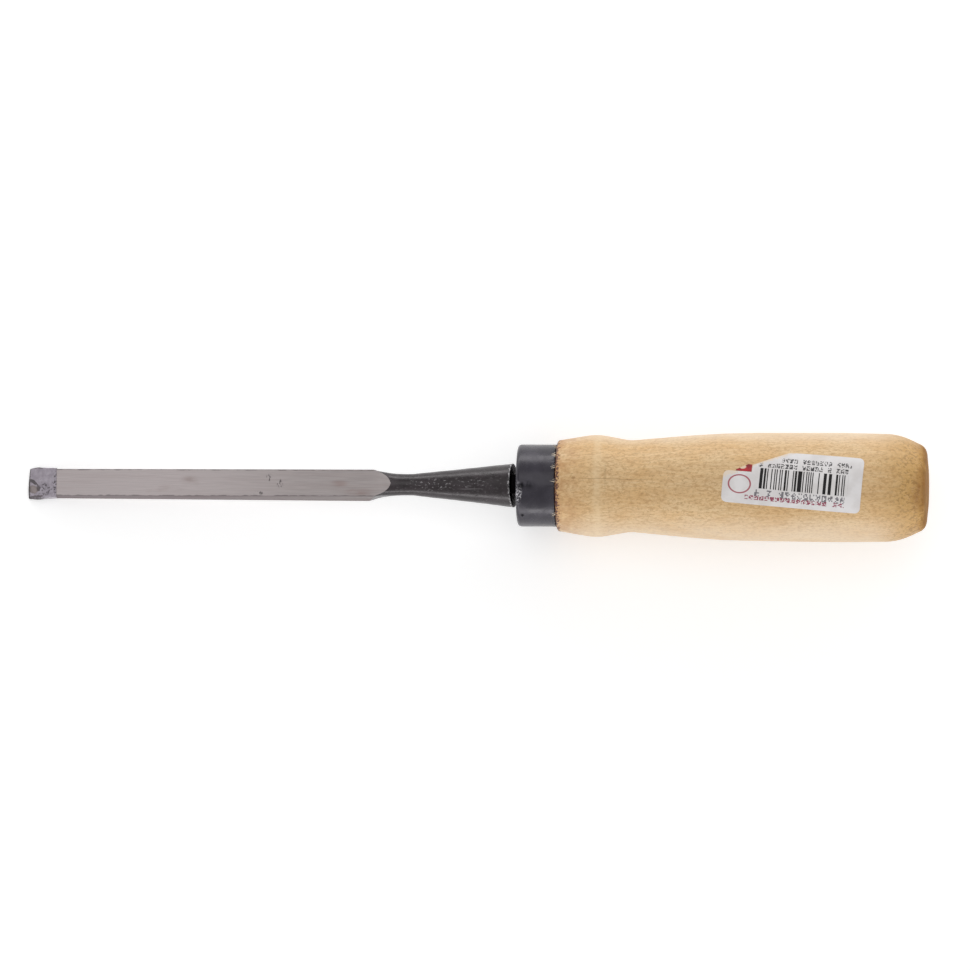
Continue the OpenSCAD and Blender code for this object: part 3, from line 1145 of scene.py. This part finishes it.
@dataclass(frozen=True)
class PrintedPaper(Finish):
    """White sticker paper with plain bars, rows of meaningless marks and an empty ring."""

    name: str = "printed_paper"
    roughness: float = 0.6
    gleam: Colour = (0.35, 0.35, 0.35, 1.0)
    length: float = 0.0385
    height: float = 0.016
    body: Colour = paint("e6e3e3")
    shade: Colour = paint("dbd7d6")
    core: Colour = paint("e6d5c0")
    black: Colour = paint("0a090b")
    red: Colour = paint("a02d42")
    bar: float = 0.000285
    bars: Span = (-0.0092, 0.0154)
    bars_up: Span = (-0.0033, 0.0025)
    bars_bare: float = 0.52
    rows: Sequence[PrintRow] = (
        PrintRow(-0.0034, 0.0160, 0.0053, 0.00135, 0.00119, 0.80, paint("1f1d20"), 3.0),
        PrintRow(-0.0098, 0.0152, 0.0035, 0.00135, 0.00119, 0.80, paint("1f1d20"), 11.0),
        PrintRow(-0.0105, 0.0148, -0.0046, 0.00190, 0.00170, 0.78, paint("6a676d"), 23.0),
        PrintRow(-0.0128, 0.0148, -0.0060, 0.00120, 0.00145, 0.84, paint("8e2245"), 31.0))
    strokes_each_way: float = 5.0
    stroke_bare: float = 0.40
    cell_bare: float = 0.12
    ring_middle: Triple = (-0.01453, -0.0025, 0)
    ring_shape: Triple = (1.12, 0.93, 1.0)
    ring_line: Span = (0.0025, 0.0029)
    tear: Triple = (-0.01145, 0.0032, 0)
    tear_run: float = 0.0100
    tear_rise: float = 0.0048

    def cell(self, n: Coats, value: Socket, pitch: float, seed: float) -> tuple[Socket, Socket]:
        """Splits a line into cells.

        Args:
            n: The paper's coats.
            value: Place along the line.
            pitch: Length of a cell.
            seed: Start of the cells' random numbers.

        Returns:
            Place within the cell, from 0 to 1, and the cell's random number.
        """
        count = n.math("DIVIDE", value, pitch)
        number = n.plus(n.math("FLOOR", count), seed)
        chance = n.add("TexWhiteNoise", {"W": number}, noise_dimensions="1D").outputs["Value"]
        return n.math("FRACT", count), chance

    def strokes(self, n: Coats, along: Socket, up: Socket, row: PrintRow) -> Socket:
        """Masks one row of print: cells of random strokes that form no letter.

        Args:
            n: The paper's coats.
            along: Place along the label.
            up: Place up the label.
            row: The row.

        Returns:
            The mask.
        """
        part, chance = self.cell(n, along, row.pitch, row.seed)
        low, each = row.middle - row.height / 2, self.strokes_each_way
        column = n.math("FLOOR", n.times(n.math("DIVIDE", along, row.pitch), each))
        level = n.math("FLOOR", n.times(n.minus(up, low), each / row.height))
        grid = n.add("CombineXYZ", {0: column, 1: level, 2: row.seed}).outputs[0]
        speck = n.add("TexWhiteNoise", {"Vector": grid}, noise_dimensions="3D").outputs["Value"]
        return n.times(n.math("GREATER_THAN", speck, self.stroke_bare),
                       n.math("GREATER_THAN", chance, self.cell_bare),
                       n.band(along, row.start, row.end), n.band(up, low, low + row.height),
                       n.band(part, 0.0, row.filled, 0.04))

    def layers(self, n: Coats) -> dict[str, Socket]:
        """Gives paper tone, bars, rows of strokes, an empty ring and a cream torn edge.

        Args:
            n: The finish's coats.

        Returns:
            What else varies, by the shader's inputs.
        """
        flat = n.place(n.add("UVMap", uv_map=FLAT_MAP).outputs[0], (0.5, 0.5, 0),
                       size=(1 / self.length, 1 / self.height, 1))
        along, up, _ = n.parts(flat)
        n.coat(self.shade, n.patches(0.004, (0.35, 0.65)))
        _, chance = self.cell(n, along, self.bar, 0.0)
        n.coat(self.black, n.band(along, *self.bars), n.band(up, *self.bars_up),
               n.math("GREATER_THAN", chance, self.bars_bare), 0.98)
        for row in self.rows:
            n.coat(row.ink, self.strokes(n, along, up, row), 0.9)
        ring = n.reach(n.place(flat, self.ring_middle, size=self.ring_shape))
        n.coat(self.red, n.band(ring, *self.ring_line), 0.85)
        beyond = n.parts(n.place(flat, self.tear, (0, 0, math.atan2(self.tear_rise, self.tear_run))))[1]
        ragged = n.plus(beyond, n.patches(0.0005, NOISE, (-0.0003, 0.0003), detail=2))
        n.coat(self.core, n.remap(ragged, -0.0007, -0.0003, 0, 0.8))
        fibre = n.noise(0.0003)
        return {"Roughness": n.remap(fibre, *NOISE, *self.about(0.06, 0.06)),
                "Normal": n.bump(fibre, 0.000006)}


@dataclass(frozen=True)
class PaperCore(Finish):
    """Cut and torn edge of the paper, cream and fibrous."""

    name: str = "paper_core"
    roughness: float = 0.8
    body: Colour = paint("e8dac6")
    dark: Colour = paint("cdb898")

    def layers(self, n: Coats) -> dict[str, Socket]:
        """Gives fibrous cream tones.

        Args:
            n: The finish's coats.

        Returns:
            What else varies, by the shader's inputs.
        """
        fibre = n.noise(0.0004)
        n.coat(self.dark, n.remap(fibre, *NOISE))
        return {"Normal": n.bump(fibre, 0.00001)}


@dataclass(frozen=True)
class RedPaper(Finish):
    """Scrap of red print, rubbed through to the cream paper in places."""

    name: str = "red_paper"
    body: Colour = paint("b8222f")
    dark: Colour = paint("7a1d22")
    core: Colour = paint("ecdcbf")
    rubbed: Place = ((0.0632, 0.0036, 0.0152), (0.0011, 0.0007, 0.004))

    def layers(self, n: Coats) -> dict[str, Socket]:
        """Gives patchy red ink with a rubbed place.

        Args:
            n: The finish's coats.

        Returns:
            What else varies, by the shader's inputs.
        """
        n.coat(self.dark, n.patches(0.0012, (0.35, 0.65)))
        n.coat(self.core, n.spot(self.rubbed, 0.3), 0.85)
        return {"Normal": n.bump(n.noise(0.0004, 2), 0.00001)}


@dataclass(frozen=True)
class BenchTop(Finish):
    """Matt white surface under the tool."""

    name: str = "bench_top"
    roughness: float = 0.9
    body: Colour = paint("e6e6e6")
    dull: Colour = paint("d8d8d8")
    glow: float = 0.45

    def layers(self, n: Coats) -> dict[str, Socket]:
        """Gives a plain pale tone that shows white wherever the object doesn't shade it.

        Args:
            n: The finish's coats.

        Returns:
            What else varies, by the shader's inputs.
        """
        n.coat(self.dull, n.patches(0.5, NOISE, (0, 0.03), detail=2))
        path = n.add("LightPath").outputs
        seen = reduce(lambda a, b: n.math("MAXIMUM", a, b),
                      (path["Is Camera Ray"], path["Is Glossy Ray"], path["Is Transmission Ray"]))
        return {"Emission Color": n.mix(seen, BLACK, WHITE)}


class Steel(Enum):
    """Finishes of the blade, by the number of their material."""

    SCALE = 0
    GROUND = 1
    SIDE = 2


@dataclass
class Part:
    """Sub-assembly that is made on the bench."""

    smooth_below: ClassVar[float] = 40.0

    bench: Bench

    def close(self, piece: Shape) -> Shape:
        """Finishes a piece, with smooth shading up to the sub-assembly's own angle."""
        return self.bench.close(piece, self.smooth_below)


@dataclass
class Blade(Part):
    """Forged blade: ground bar, neck, bolster and tang in one piece of steel."""

    smooth_below: ClassVar[float] = 32.0

    edge_x: float = -0.1363
    shoulder_x: float = -0.041
    side_end_x: float = -0.038
    runout_x: float = -0.0356
    neck_x: float = -0.0346
    waist_x: float = -0.0312
    half_width: float = 0.004
    back_z: float = -0.00315
    heel_x: float = -0.12858
    heel_z: float = 0.00045
    runout_z: float = 0.00315
    bevel: float = math.radians(25)
    lean: float = math.radians(4.5)
    widening: float = 0.0024
    end_gap: float = 0.0003
    end_lean: float = math.radians(8.5)
    end_chip: float = 0.00014
    bolster_radius: float = 0.00625
    hammered: Span = (0.004, 0.00016)
    tang_root_x: float = -0.0032
    tang_half: float = 0.00275
    tang_end_half: float = 0.0015
    tang_end_x: float = 0.065
    tang_corner: float = 0.0003
    corner_steps: int = 12
    bar_rings: int = 24
    ring_gap: float = 0.0009
    blank: Section = Section.even(-0.139, 0.0047, 0.0047, 0.0012)
    stations: Sequence[tuple[float, float, float, float]] = (
        (-0.0420, 0.00430, 0.0051, 0.0016), (-0.0411, 0.00410, 0.0050, 0.0019),
        (-0.0402, 0.00390, 0.0047, 0.0022), (-0.0391, 0.00358, 0.0044, 0.0024),
        (-0.0380, 0.00340, 0.0041, 0.0025), (-0.0370, 0.00329, 0.0037, 0.0026),
        (-0.0364, 0.00324, 0.00345, 0.0026), (-0.0357, 0.00318, 0.00322, 0.0027),
        (-0.0353, 0.00315, 0.00313, 0.0029), (-0.0340, 0.00306, 0.00309, 0.0030),
        (-0.0325, 0.00300, 0.00307, 0.00298), (-0.0310, 0.00297, 0.00305, 0.00295),
        (-0.0290, 0.00300, 0.00305, 0.00298), (-0.0267, 0.00327, 0.00327, 0.00325),
        (-0.0233, 0.00363, 0.00363, 0.00361), (-0.0200, 0.00397, 0.00397, 0.00395),
        (-0.0133, 0.00469, 0.00469, 0.00467), (-0.0067, 0.00546, 0.00546, 0.00544),
        (0.0, 0.00625, 0.00625, 0.00622))

    def sections(self) -> list[Section]:
        """Lists every ring of the forging, from the tip to the bolster's rear end.

        Returns:
            The rings, about a millimetre apart behind the bar.
        """
        stations = [Section.even(*row) for row in self.stations]
        rings = [self.blank.toward(stations[0], i / self.bar_rings) for i in range(self.bar_rings)]
        for here, after in zip(stations, stations[1:]):
            count = max(1, round((after.x - here.x) / self.ring_gap))
            rings += [here.toward(after, i / count) for i in range(count)]
        return rings + stations[-1:]

    def top(self, x: float) -> float:
        """Gives the height of the ground top face at an axial place."""
        return self.heel_z + (x - self.heel_x) * self.rise()

    def rise(self) -> float:
        """Gives how much the ground top face climbs for its length."""
        return (self.runout_z - self.heel_z) / (self.runout_x - self.heel_x)

    def bevel_z(self, x: float) -> float:
        """Gives the height of the bevel at an axial place."""
        return self.back_z + (x - self.edge_x) * math.tan(self.bevel)

    def build(self) -> Shape:
        """Forges the blank, grinds its flats, trims the bolster and adds the tang.

        Returns:
            The blade.
        """
        bench, edge = self.bench, (self.edge_x, 0, self.back_z)
        tang = self.tang()
        piece = bench.begin("forged_blade")
        bench.loft(self.sections(), self.corner_steps)
        bench.group("neck", lambda v: v.x > self.neck_x)
        bench.roughen(*self.hammered, "neck")
        bench.grind((self.heel_x, 0, self.heel_z), (-self.rise(), 0, 1), self.waist_x)
        bench.grind(edge, (0, 0, -1), self.waist_x)
        for side in (-1, 1):
            bench.grind((self.edge_x, side * self.half_width, self.back_z),
                        (-self.widening, side * math.cos(self.lean), math.sin(self.lean)), self.side_end_x)
        bench.grind(edge, (-math.sin(self.bevel), 0, math.cos(self.bevel)), self.shoulder_x)
        out = Vector((math.cos(self.end_lean), 0, math.sin(self.end_lean)))
        low = Vector((-self.end_gap, 0, -self.bolster_radius))
        bench.grind(low, out, self.tang_end_x)
        bench.pick(lambda middle: abs((middle - low).dot(out)) < MERGE, True)
        bpy.ops.mesh.bevel(offset=self.end_chip, segments=2, affect="EDGES")
        bench.combine(piece, Join.ADD, tang)
        bpy.data.objects.remove(tang)
        return self.close(piece)

    def dress(self, piece: Shape) -> None:
        """Gives the ground faces and the sides their own finishes.

        Args:
            piece: The blade, laid down.
        """
        back = self.bench.axis.matrix().inverted()
        turn = back.to_3x3()
        tilt, level, side, past = 0.02, 0.85, 0.004, 0.0004
        for face in piece.data.polygons:
            middle, normal = back @ face.center, turn @ face.normal
            faces_out = abs(normal.y) < tilt and normal.z * middle.z > -0.002
            if middle.x < self.runout_x + past and faces_out:
                ground = abs(normal.z) > level and self.is_flat(middle)
                face.material_index = (Steel.GROUND if ground else Steel.SCALE).value
            elif middle.x < self.side_end_x and abs(abs(normal.y) - math.cos(self.lean)) < side:
                face.material_index = Steel.SIDE.value

    def is_flat(self, middle: Vector) -> bool:
        """Says whether a point lies on one of the ground planes."""
        planes = (self.top(middle.x), self.back_z, self.bevel_z(middle.x))
        return min(abs(middle.z - plane) for plane in planes) < 0.00002

    def tang(self) -> Shape:
        """Makes the square spike that is driven into the handle.

        Returns:
            The tang, in edit mode.
        """
        piece = self.bench.begin("tang")
        half, tip = self.tang_half, self.tang_end_half
        squares = ((self.tang_root_x, half), (0, half), (self.tang_end_x, tip))
        self.bench.loft([Section.even(x, side, side, self.tang_corner) for x, side in squares], 2)
        return piece


@dataclass
class Ferrule(Part):
    """Moulded cap over the front of the handle."""

    radius: float = 0.0114
    length: float = 0.011
    wall: float = 0.0014
    face: float = 0.0016
    edge: float = 0.0011
    fine_edge: float = 0.0002
    hole: float = 0.00419
    hole_edge: float = 0.0003
    ragged: Span = (0.0007, 0.00025)
    longest_side: float = 0.0012
    rim_depth: float = 0.0005
    rim_height: float = 0.0004
    steps: int = 192

    def build(self) -> Shape:
        """Turns the cap and roughens its rear rim.

        Returns:
            The ferrule.
        """
        piece = self.bench.begin("ferrule_cap")
        rear, inside = self.length - self.fine_edge, self.radius - self.wall
        outline = rounded([
            (self.face, self.hole, 0), (0, self.hole, self.hole_edge), (0, self.radius, self.edge),
            (rear, self.radius, self.fine_edge), (rear, inside, 0), (self.face, inside, 0),
            (self.face, self.hole, 0)])
        self.bench.turn(spaced(outline, self.longest_side), self.steps, Cap.OPEN)
        self.bench.group("rear_rim", lambda v: v.x > self.length - self.rim_depth
                         and math.hypot(v.y, v.z) > self.radius - self.rim_height)
        self.bench.roughen(*self.ragged, "rear_rim")
        return self.close(piece)


@dataclass
class Handle(Part):
    """Turned wooden handle with a tenon and a bore for the tang."""

    smooth_below: ClassVar[float] = 35.0

    front: float = 0.011
    tenon: float = 0.0100
    tenon_x: float = 0.0019
    bore_mouth: float = 0.0040
    bore_end: float = 0.0023
    bore_end_x: float = 0.0665
    longest_side: float = 0.0015
    arc_step: float = 4.0
    steps: int = 160
    corners: Sequence[Triple] = (
        (0.0, 0.0120, 0), (0.0004, 0.01262, 0.0003), (0.0110, 0.01440, 0.017), (0.0203, 0.01270, 0.010),
        (0.0454, 0.01495, 0.231), (0.0794, 0.01518, 0.300), (0.0948, 0.01490, 0.017),
        (0.1024, 0.0113, 0.0032), (0.1030, 0.0055, 0))

    def build(self) -> Shape:
        """Turns the grip with its tenon and bore.

        Returns:
            The handle.
        """
        piece = self.bench.begin("turned_handle")
        grip = [(self.front + x, r) for x, r in rounded(self.corners, self.arc_step)]
        tenon = [(self.tenon_x, self.bore_mouth), (self.tenon_x, self.tenon), (self.front, self.tenon)]
        outline = [(self.bore_end_x, self.bore_end)] + spaced(tenon + grip, self.longest_side)
        self.bench.turn(outline, self.steps, Cap.POLE)
        return self.close(piece)


@dataclass(frozen=True)
class Dent:
    """Place where the wet lacquer moved: a box of corners, their shift and how far round them it shows."""

    low: Triple
    high: Triple
    shift: Triple
    reach: float

    def holds(self, corner: Vector) -> bool:
        """Says whether a corner lies in the box."""
        return all(a < c < b for a, c, b in zip(self.low, corner, self.high))


@dataclass
class EdgeGuard(Part):
    """Skin of lacquer dipped over the bevel and the cutting edge."""

    blade: Blade
    skin: float = 0.0004
    thin: float = 0.25
    fade: float = 0.0012
    nose: float = 0.0004
    nose_low: float = 0.00012
    nose_high: float = 0.00008
    corner: float = 0.00035
    corner_steps: int = 5
    uneven: Span = (0.0012, 0.00012)
    plan: Sequence[Span] = (
        (-0.13670, 0.00400), (-0.13655, 0.00420), (-0.13620, 0.00428), (-0.13567, 0.00434),
        (-0.13483, 0.00444), (-0.13400, 0.00447), (-0.13320, 0.00440), (-0.13230, 0.00429),
        (-0.13150, 0.00418), (-0.13060, 0.00415), (-0.12960, 0.00412), (-0.12906, 0.00409),
        (-0.12876, 0.00408))
    dents: Sequence[Dent] = (
        Dent((-1, 0.0026, -1), (-0.1362, 1, 1), (0.00020, 0.00004, 0), 0.0013),
        Dent((-1, -0.0020, -1), (-0.1363, 0.0002, 1), (-0.00012, 0, 0), 0.0012),
        Dent((-1, -0.0042, -0.0030), (-0.1340, -0.0016, 1), (0, -0.00008, 0.00026), 0.0009),
        Dent((-0.1344, -1, -0.0028), (-0.1333, -0.0022, 1), (0, 0, -0.00010), 0.0005))

    def sections(self) -> list[Section]:
        """Lists the rings of the skin, from the rounded front to its rear end.

        Returns:
            The rings.
        """
        b, rings = self.blade, []
        for x, half in self.plan:
            cover = self.skin * min(1.0, self.thin + (self.plan[-1][0] - x) / self.fade)
            front = max(0.0, b.edge_x - x) / self.nose
            low = b.back_z - self.skin + self.nose_low * front
            high = min(b.bevel_z(x) + cover / math.cos(b.bevel), b.top(x) + cover) - self.nose_high * front
            rings.append(Section(x, half, low, high, min(self.corner, 0.45 * (high - low))))
        return rings

    def build(self, blade_piece: Shape) -> Shape:
        """Lofts the skin, makes it uneven and hollows it to fit the blade.

        Args:
            blade_piece: The blade that it covers.

        Returns:
            The skin.
        """
        bench = self.bench
        piece = bench.begin("edge_guard")
        bench.loft(self.sections(), self.corner_steps)
        bench.fit("SUBSURF", subdivision_type="SIMPLE", levels=2, render_levels=2)
        bench.roughen(*self.uneven)
        for dent in self.dents:
            bench.pick(dent.holds)
            bpy.ops.transform.translate(value=dent.shift, use_proportional_edit=True,
                                        proportional_edit_falloff="SMOOTH", proportional_size=dent.reach)
        self.close(piece)
        bench.combine(piece, Join.TAKE, blade_piece)
        bench.edit(False)
        bench.smooth(self.smooth_below)
        return piece


@dataclass
class Label(Part):
    """Paper sticker that follows the belly of the handle, with one corner torn away."""

    handle: Shape
    length: float = 0.0385
    height: float = 0.016
    thickness: float = 0.00012
    clearance: float = 0.00003
    corner: float = 0.0015
    middle_x: float = 0.077
    turn: float = math.radians(-5)
    tear_length: float = 0.0178
    tear_height: float = 0.0069
    step_x: float = 0.0078
    step_height: float = 0.0021
    radius: float = 0.0152
    slice_x: float = 0.0012
    slice_y: float = 0.0006
    scrap_x: float = 0.0034
    scrap_height: float = 0.0022
    scrap_gap: float = 0.0001

    def wrap(self, piece: Shape) -> Shape:
        """Slices a flat sheet, bends it round the handle and gives it its thickness.

        Args:
            piece: The flat sheet, in edit mode.

        Returns:
            The finished sheet.
        """
        bench = self.bench
        for way, half, step in (((1, 0, 0), self.length / 2, self.slice_x),
                                ((0, 1, 0), self.height / 2, self.slice_y)):
            count = int(half / step)
            for i in range(-count, count + 1):
                bench.take_all()
                bench.cut(Vector(way) * i * step, way)
        bench.edit(False)
        sheet = piece.data
        layer = sheet.uv_layers.new(name=FLAT_MAP)
        for loop in sheet.loops:
            flat = sheet.vertices[loop.vertex_index].co
            layer.data[loop.index].uv = (flat.x / self.length + 0.5, flat.y / self.height + 0.5)
        bench.settle(piece, Matrix.Rotation(math.pi / 2, 4, "X") @ Matrix.Rotation(self.turn, 4, "Z"))
        tall = [v.co.z for v in sheet.vertices]
        bench.fit("SIMPLE_DEFORM", deform_method="BEND", deform_axis="X",
                  angle=(max(tall) - min(tall)) / self.radius)
        top = Matrix.Translation((self.middle_x, 0, self.radius)) @ Matrix.Rotation(-math.pi / 2, 4, "X")
        bench.settle(piece, bench.axis.matrix() @ top)
        bench.fit("SHRINKWRAP", target=self.handle, wrap_mode="ABOVE_SURFACE", offset=self.clearance)
        bench.fit("SOLIDIFY", thickness=self.thickness, offset=1.0, material_offset_rim=1)
        bench.smooth(self.smooth_below)
        return piece

    def sheet(self) -> Shape:
        """Cuts the flat outline of the sticker.

        Returns:
            The flat sheet, in edit mode.
        """
        bench = self.bench
        piece = bench.begin("paper_label")
        bench.board(ZERO, (self.length, self.height, 1), calc_uvs=False)
        left, top = -self.length / 2, self.height / 2
        step = (left + self.step_x, top - self.tear_height, 0)
        bench.cut(step, (1, 0, 0))
        bench.pick(lambda m: m.x < step[0], True)
        bench.cut(step, (0, 1, 0))
        bench.pick(lambda m: m.x > step[0], True)
        low = Vector((step[0], step[1] + self.step_height, 0))
        along = Vector((left + self.tear_length, top, 0)) - low
        up = Vector((-along.y, along.x, 0)).normalized()
        bench.cut(low, up)
        bench.pick(lambda m: m.y > step[1] if m.x < step[0] else (m - low).dot(up) > 0, True)
        bpy.ops.mesh.delete(type="FACE")
        bench.pick(lambda v: abs(v.x) > self.length / 2 - MERGE)
        bpy.ops.mesh.bevel(offset=self.corner, segments=6, affect="VERTICES")
        return piece

    def scrap(self) -> Shape:
        """Cuts the flat scrap of an older red sticker, left where the corner is torn away.

        Returns:
            The flat scrap, in edit mode.
        """
        piece = self.bench.begin("red_scrap")
        left, right = self.scrap_x - self.length / 2, self.step_x - self.scrap_gap - self.length / 2
        low = self.height / 2 - self.tear_height + self.scrap_gap
        high = low + self.scrap_height
        self.bench.board(((left + right) / 2, (low + high) / 2, 0), (right - left, high - low, 1),
                         calc_uvs=False)
        for point, way in (((left, low + 0.0003, 0), (-0.50, 0.87, 0)),
                           ((right, high - 0.0001, 0), (0.05, 1.0, 0))):
            self.bench.take_all()
            self.bench.cut(point, Vector(way).normalized(), clear_outer=True)
        return piece


@dataclass
class JointFibres(Part):
    """Torn wood fibres that stand out of the seam between the ferrule and the handle."""

    seam_x: float = 0.0110
    seam_radius: float = 0.0119
    thickness: float = 0.00008
    length: float = 0.0014
    taper: Sequence[Span] = ((0, 1), (0.3, 0.9), (0.65, 0.6), (1, 0.15))
    bend: float = 0.16
    tufts: Sequence[float] = (57, 38, 20, -1, -50)
    in_tuft: int = 4
    tuft_spread: float = 3
    around: int = 22
    small: float = 0.4
    sizes: Span = (0.55, 1.15)
    leans: Span = (150, 178)
    twists: Span = (-40, 40)
    seed: int = 7

    def sliver(self) -> Shape:
        """Draws one bent fibre along X.

        Returns:
            The fibre.
        """
        bench = self.bench
        first = bench.begin("joint_fibres")
        bench.turn([(self.length * x, self.thickness * r) for x, r in self.taper], 5, Cap.POLE)
        bench.pick(lambda v: v.x > self.length * 0.5)
        bpy.ops.transform.translate(value=(0, 0, self.length * self.bend))
        bench.take_all()
        bpy.ops.mesh.normals_make_consistent(inside=False)
        bench.edit(False)
        return first

    def build(self) -> Shape:
        """Copies one fibre round the seam and joins the copies.

        Returns:
            The fibres.
        """
        first = self.sliver()
        draw = random.Random(self.seed)
        spread = self.tuft_spread
        places = [(a + draw.uniform(-spread, spread), 1.0) for a in self.tufts for _ in range(self.in_tuft)]
        places += [(draw.uniform(0, 360), self.small) for _ in range(self.around)]
        slivers = [first]
        for angle, size in places:
            sliver = first.copy()
            sliver.data = first.data.copy()
            bpy.context.scene.collection.objects.link(sliver)
            slivers.append(sliver)
            size *= draw.uniform(*self.sizes)
            lean = Matrix.Rotation(math.radians(draw.uniform(*self.leans)), 4, "Y")
            twist = Matrix.Rotation(math.radians(draw.uniform(*self.twists)), 4, "Z")
            out = Matrix.Translation((self.seam_x, 0, self.seam_radius))
            around = Matrix.Rotation(math.radians(-angle), 4, "X")
            sliver.matrix_world = (self.bench.axis.matrix() @ around @ out @ twist
                                   @ Matrix.Rotation(math.pi, 4, "X") @ lean @ Matrix.Scale(size, 4))
        first.matrix_world = slivers[1].matrix_world.copy()
        for sliver in slivers:
            sliver.select_set(True)
        bpy.context.view_layer.objects.active = first
        bpy.ops.object.join()
        bpy.ops.object.transform_apply(location=True, rotation=True, scale=True)
        return first


@dataclass(frozen=True)
class Camera:
    """Long lens above the tool, leaning a little toward its near side."""

    azimuth: float = 0.93
    elevation: float = 82.0
    distance: float = 4.0
    span: float = 0.26944
    sensor: float = 36.0
    aim: Triple = (0.0018, 0.0001, 0.012)

    def build(self) -> None:
        """Makes the scene's camera."""
        a, e = math.radians(self.azimuth), math.radians(self.elevation)
        back = Vector((math.sin(a) * math.cos(e), -math.cos(a) * math.cos(e), math.sin(e)))
        data = bpy.data.cameras.new("camera")
        data.sensor_width = self.sensor
        data.lens = self.sensor * self.distance / self.span
        data.clip_end = 2.5 * self.distance
        camera = bpy.data.objects.new("camera", data)
        camera.location = Vector(self.aim) + back * self.distance
        camera.rotation_euler = (-back).to_track_quat("-Z", "Y").to_euler()
        bpy.context.scene.collection.objects.link(camera)
        bpy.context.scene.camera = camera


@dataclass(frozen=True)
class Lamp:
    """Soft rectangular lamp that faces the tool, with its size across the view and up, and its watts."""

    name: str
    place: Triple
    size: Span
    power: float
    aim: Triple = (0, 0, 0.01)

    def hang(self) -> None:
        """Makes the lamp, unseen by the camera."""
        data = bpy.data.lights.new(self.name, "AREA")
        data.shape, data.size, data.size_y, data.energy = "RECTANGLE", *self.size, self.power
        lamp = bpy.data.objects.new(self.name, data)
        lamp.location = self.place
        lamp.rotation_euler = (Vector(self.place) - Vector(self.aim)).to_track_quat("Z", "Y").to_euler()
        lamp.visible_camera = False
        bpy.context.scene.collection.objects.link(lamp)


@dataclass(frozen=True)
class Studio:
    """Plain soft light: pale floor, bright low sides and a darker top."""

    floor_size: float = 6.0
    lamps: Sequence[Lamp] = (
        Lamp("near_lamp", (0.0, -0.9, 0.10), (1.6, 0.20), 3.1),
        Lamp("far_lamp", (0.0, 0.9, 0.26), (1.6, 0.34), 4.2),
        Lamp("top_lamp", (0.0, 0.25, 1.3), (0.9, 0.9), 1.6))
    horizon: float = 1.15
    zenith: float = 0.52
    zenith_height: float = 0.75

    def build(self, floor_finish: bpy.types.Material) -> None:
        """Lays the floor, hangs the lamps and sets the world.

        Args:
            floor_finish: The floor's material.
        """
        bpy.ops.object.select_all(action="DESELECT")
        bpy.ops.mesh.primitive_plane_add(size=self.floor_size)
        floor = bpy.context.object
        floor.name = "floor"
        floor.data.materials.append(floor_finish)
        for lamp in self.lamps:
            lamp.hang()
        self.world()

    def world(self) -> None:
        """Makes the world bright at the horizon, darker overhead, and white to the camera."""
        world = bpy.data.worlds.new("world")
        bpy.context.scene.world = world
        world.use_nodes = True
        n = Nodes(world.node_tree)
        height = n.parts(n.add("TexCoord").outputs["Generated"])[2]
        level = n.remap(height, 0.0, self.zenith_height, self.horizon, self.zenith)
        level = n.math("MAXIMUM", level, n.add("LightPath").outputs["Is Camera Ray"])
        background = n.add("Background", {"Color": WHITE, "Strength": level})
        n.add("OutputWorld", {"Surface": background.outputs[0]})


def report(piece: Shape) -> None:
    """Logs a piece's name and how many faces it has."""
    LOG.info("%s: %d faces", piece.name, len(piece.data.polygons))


def hand_over(piece: Shape, slot: str, node: str | None, *finishes: bpy.types.Material) -> None:
    """Dresses a piece and gives it to the frame.

    Args:
        piece: The finished piece.
        slot: The record's material slot; not used.
        node: The CAD node that it stands for, if any.
        finishes: Its materials, in the order of its faces' numbers.
    """
    for finish in finishes:
        piece.data.materials.append(finish)
    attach(piece, BODY)
    if node:
        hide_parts(node)
    report(piece)


def main() -> None:
    """Builds every piece, dresses it and sets the stage."""
    logging.basicConfig(level=logging.INFO, format="%(name)s: %(message)s")
    bpy.context.scene.view_settings.view_transform = "Standard"
    axis = ToolAxis.from_record(frame["record"], BUTT_REACH)
    bench, look = Bench(axis), (axis, Effects())
    blade_maker = Blade(bench)
    blade = blade_maker.build()
    steels = (finish(*look).make() for finish in (ForgeScale, GroundSteel, SideSteel))
    hand_over(blade, "steel", "blade", *steels)
    blade_maker.dress(blade)
    hand_over(EdgeGuard(bench, blade_maker).build(blade), "lacquer", "edge_coat", Lacquer(*look).make())
    hand_over(Ferrule(bench).build(), "ferrule_plastic", "ferrule", FerrulePlastic(*look).make())
    handle = Handle(bench).build()
    hand_over(handle, "wood", "handle", TurnedWood(*look).make())
    hand_over(JointFibres(bench).build(), "wood", None, TornWood(*look).make())
    maker, core = Label(bench, handle), PaperCore(*look).make()
    hand_over(maker.wrap(maker.sheet()), "label_paper", "label", PrintedPaper(*look).make(), core)
    hand_over(maker.wrap(maker.scrap()), "label_paper", None, RedPaper(*look).make(), core)
    Studio().build(BenchTop(*look).make())
    Camera().build()


if __name__ == "__main__":
    main()
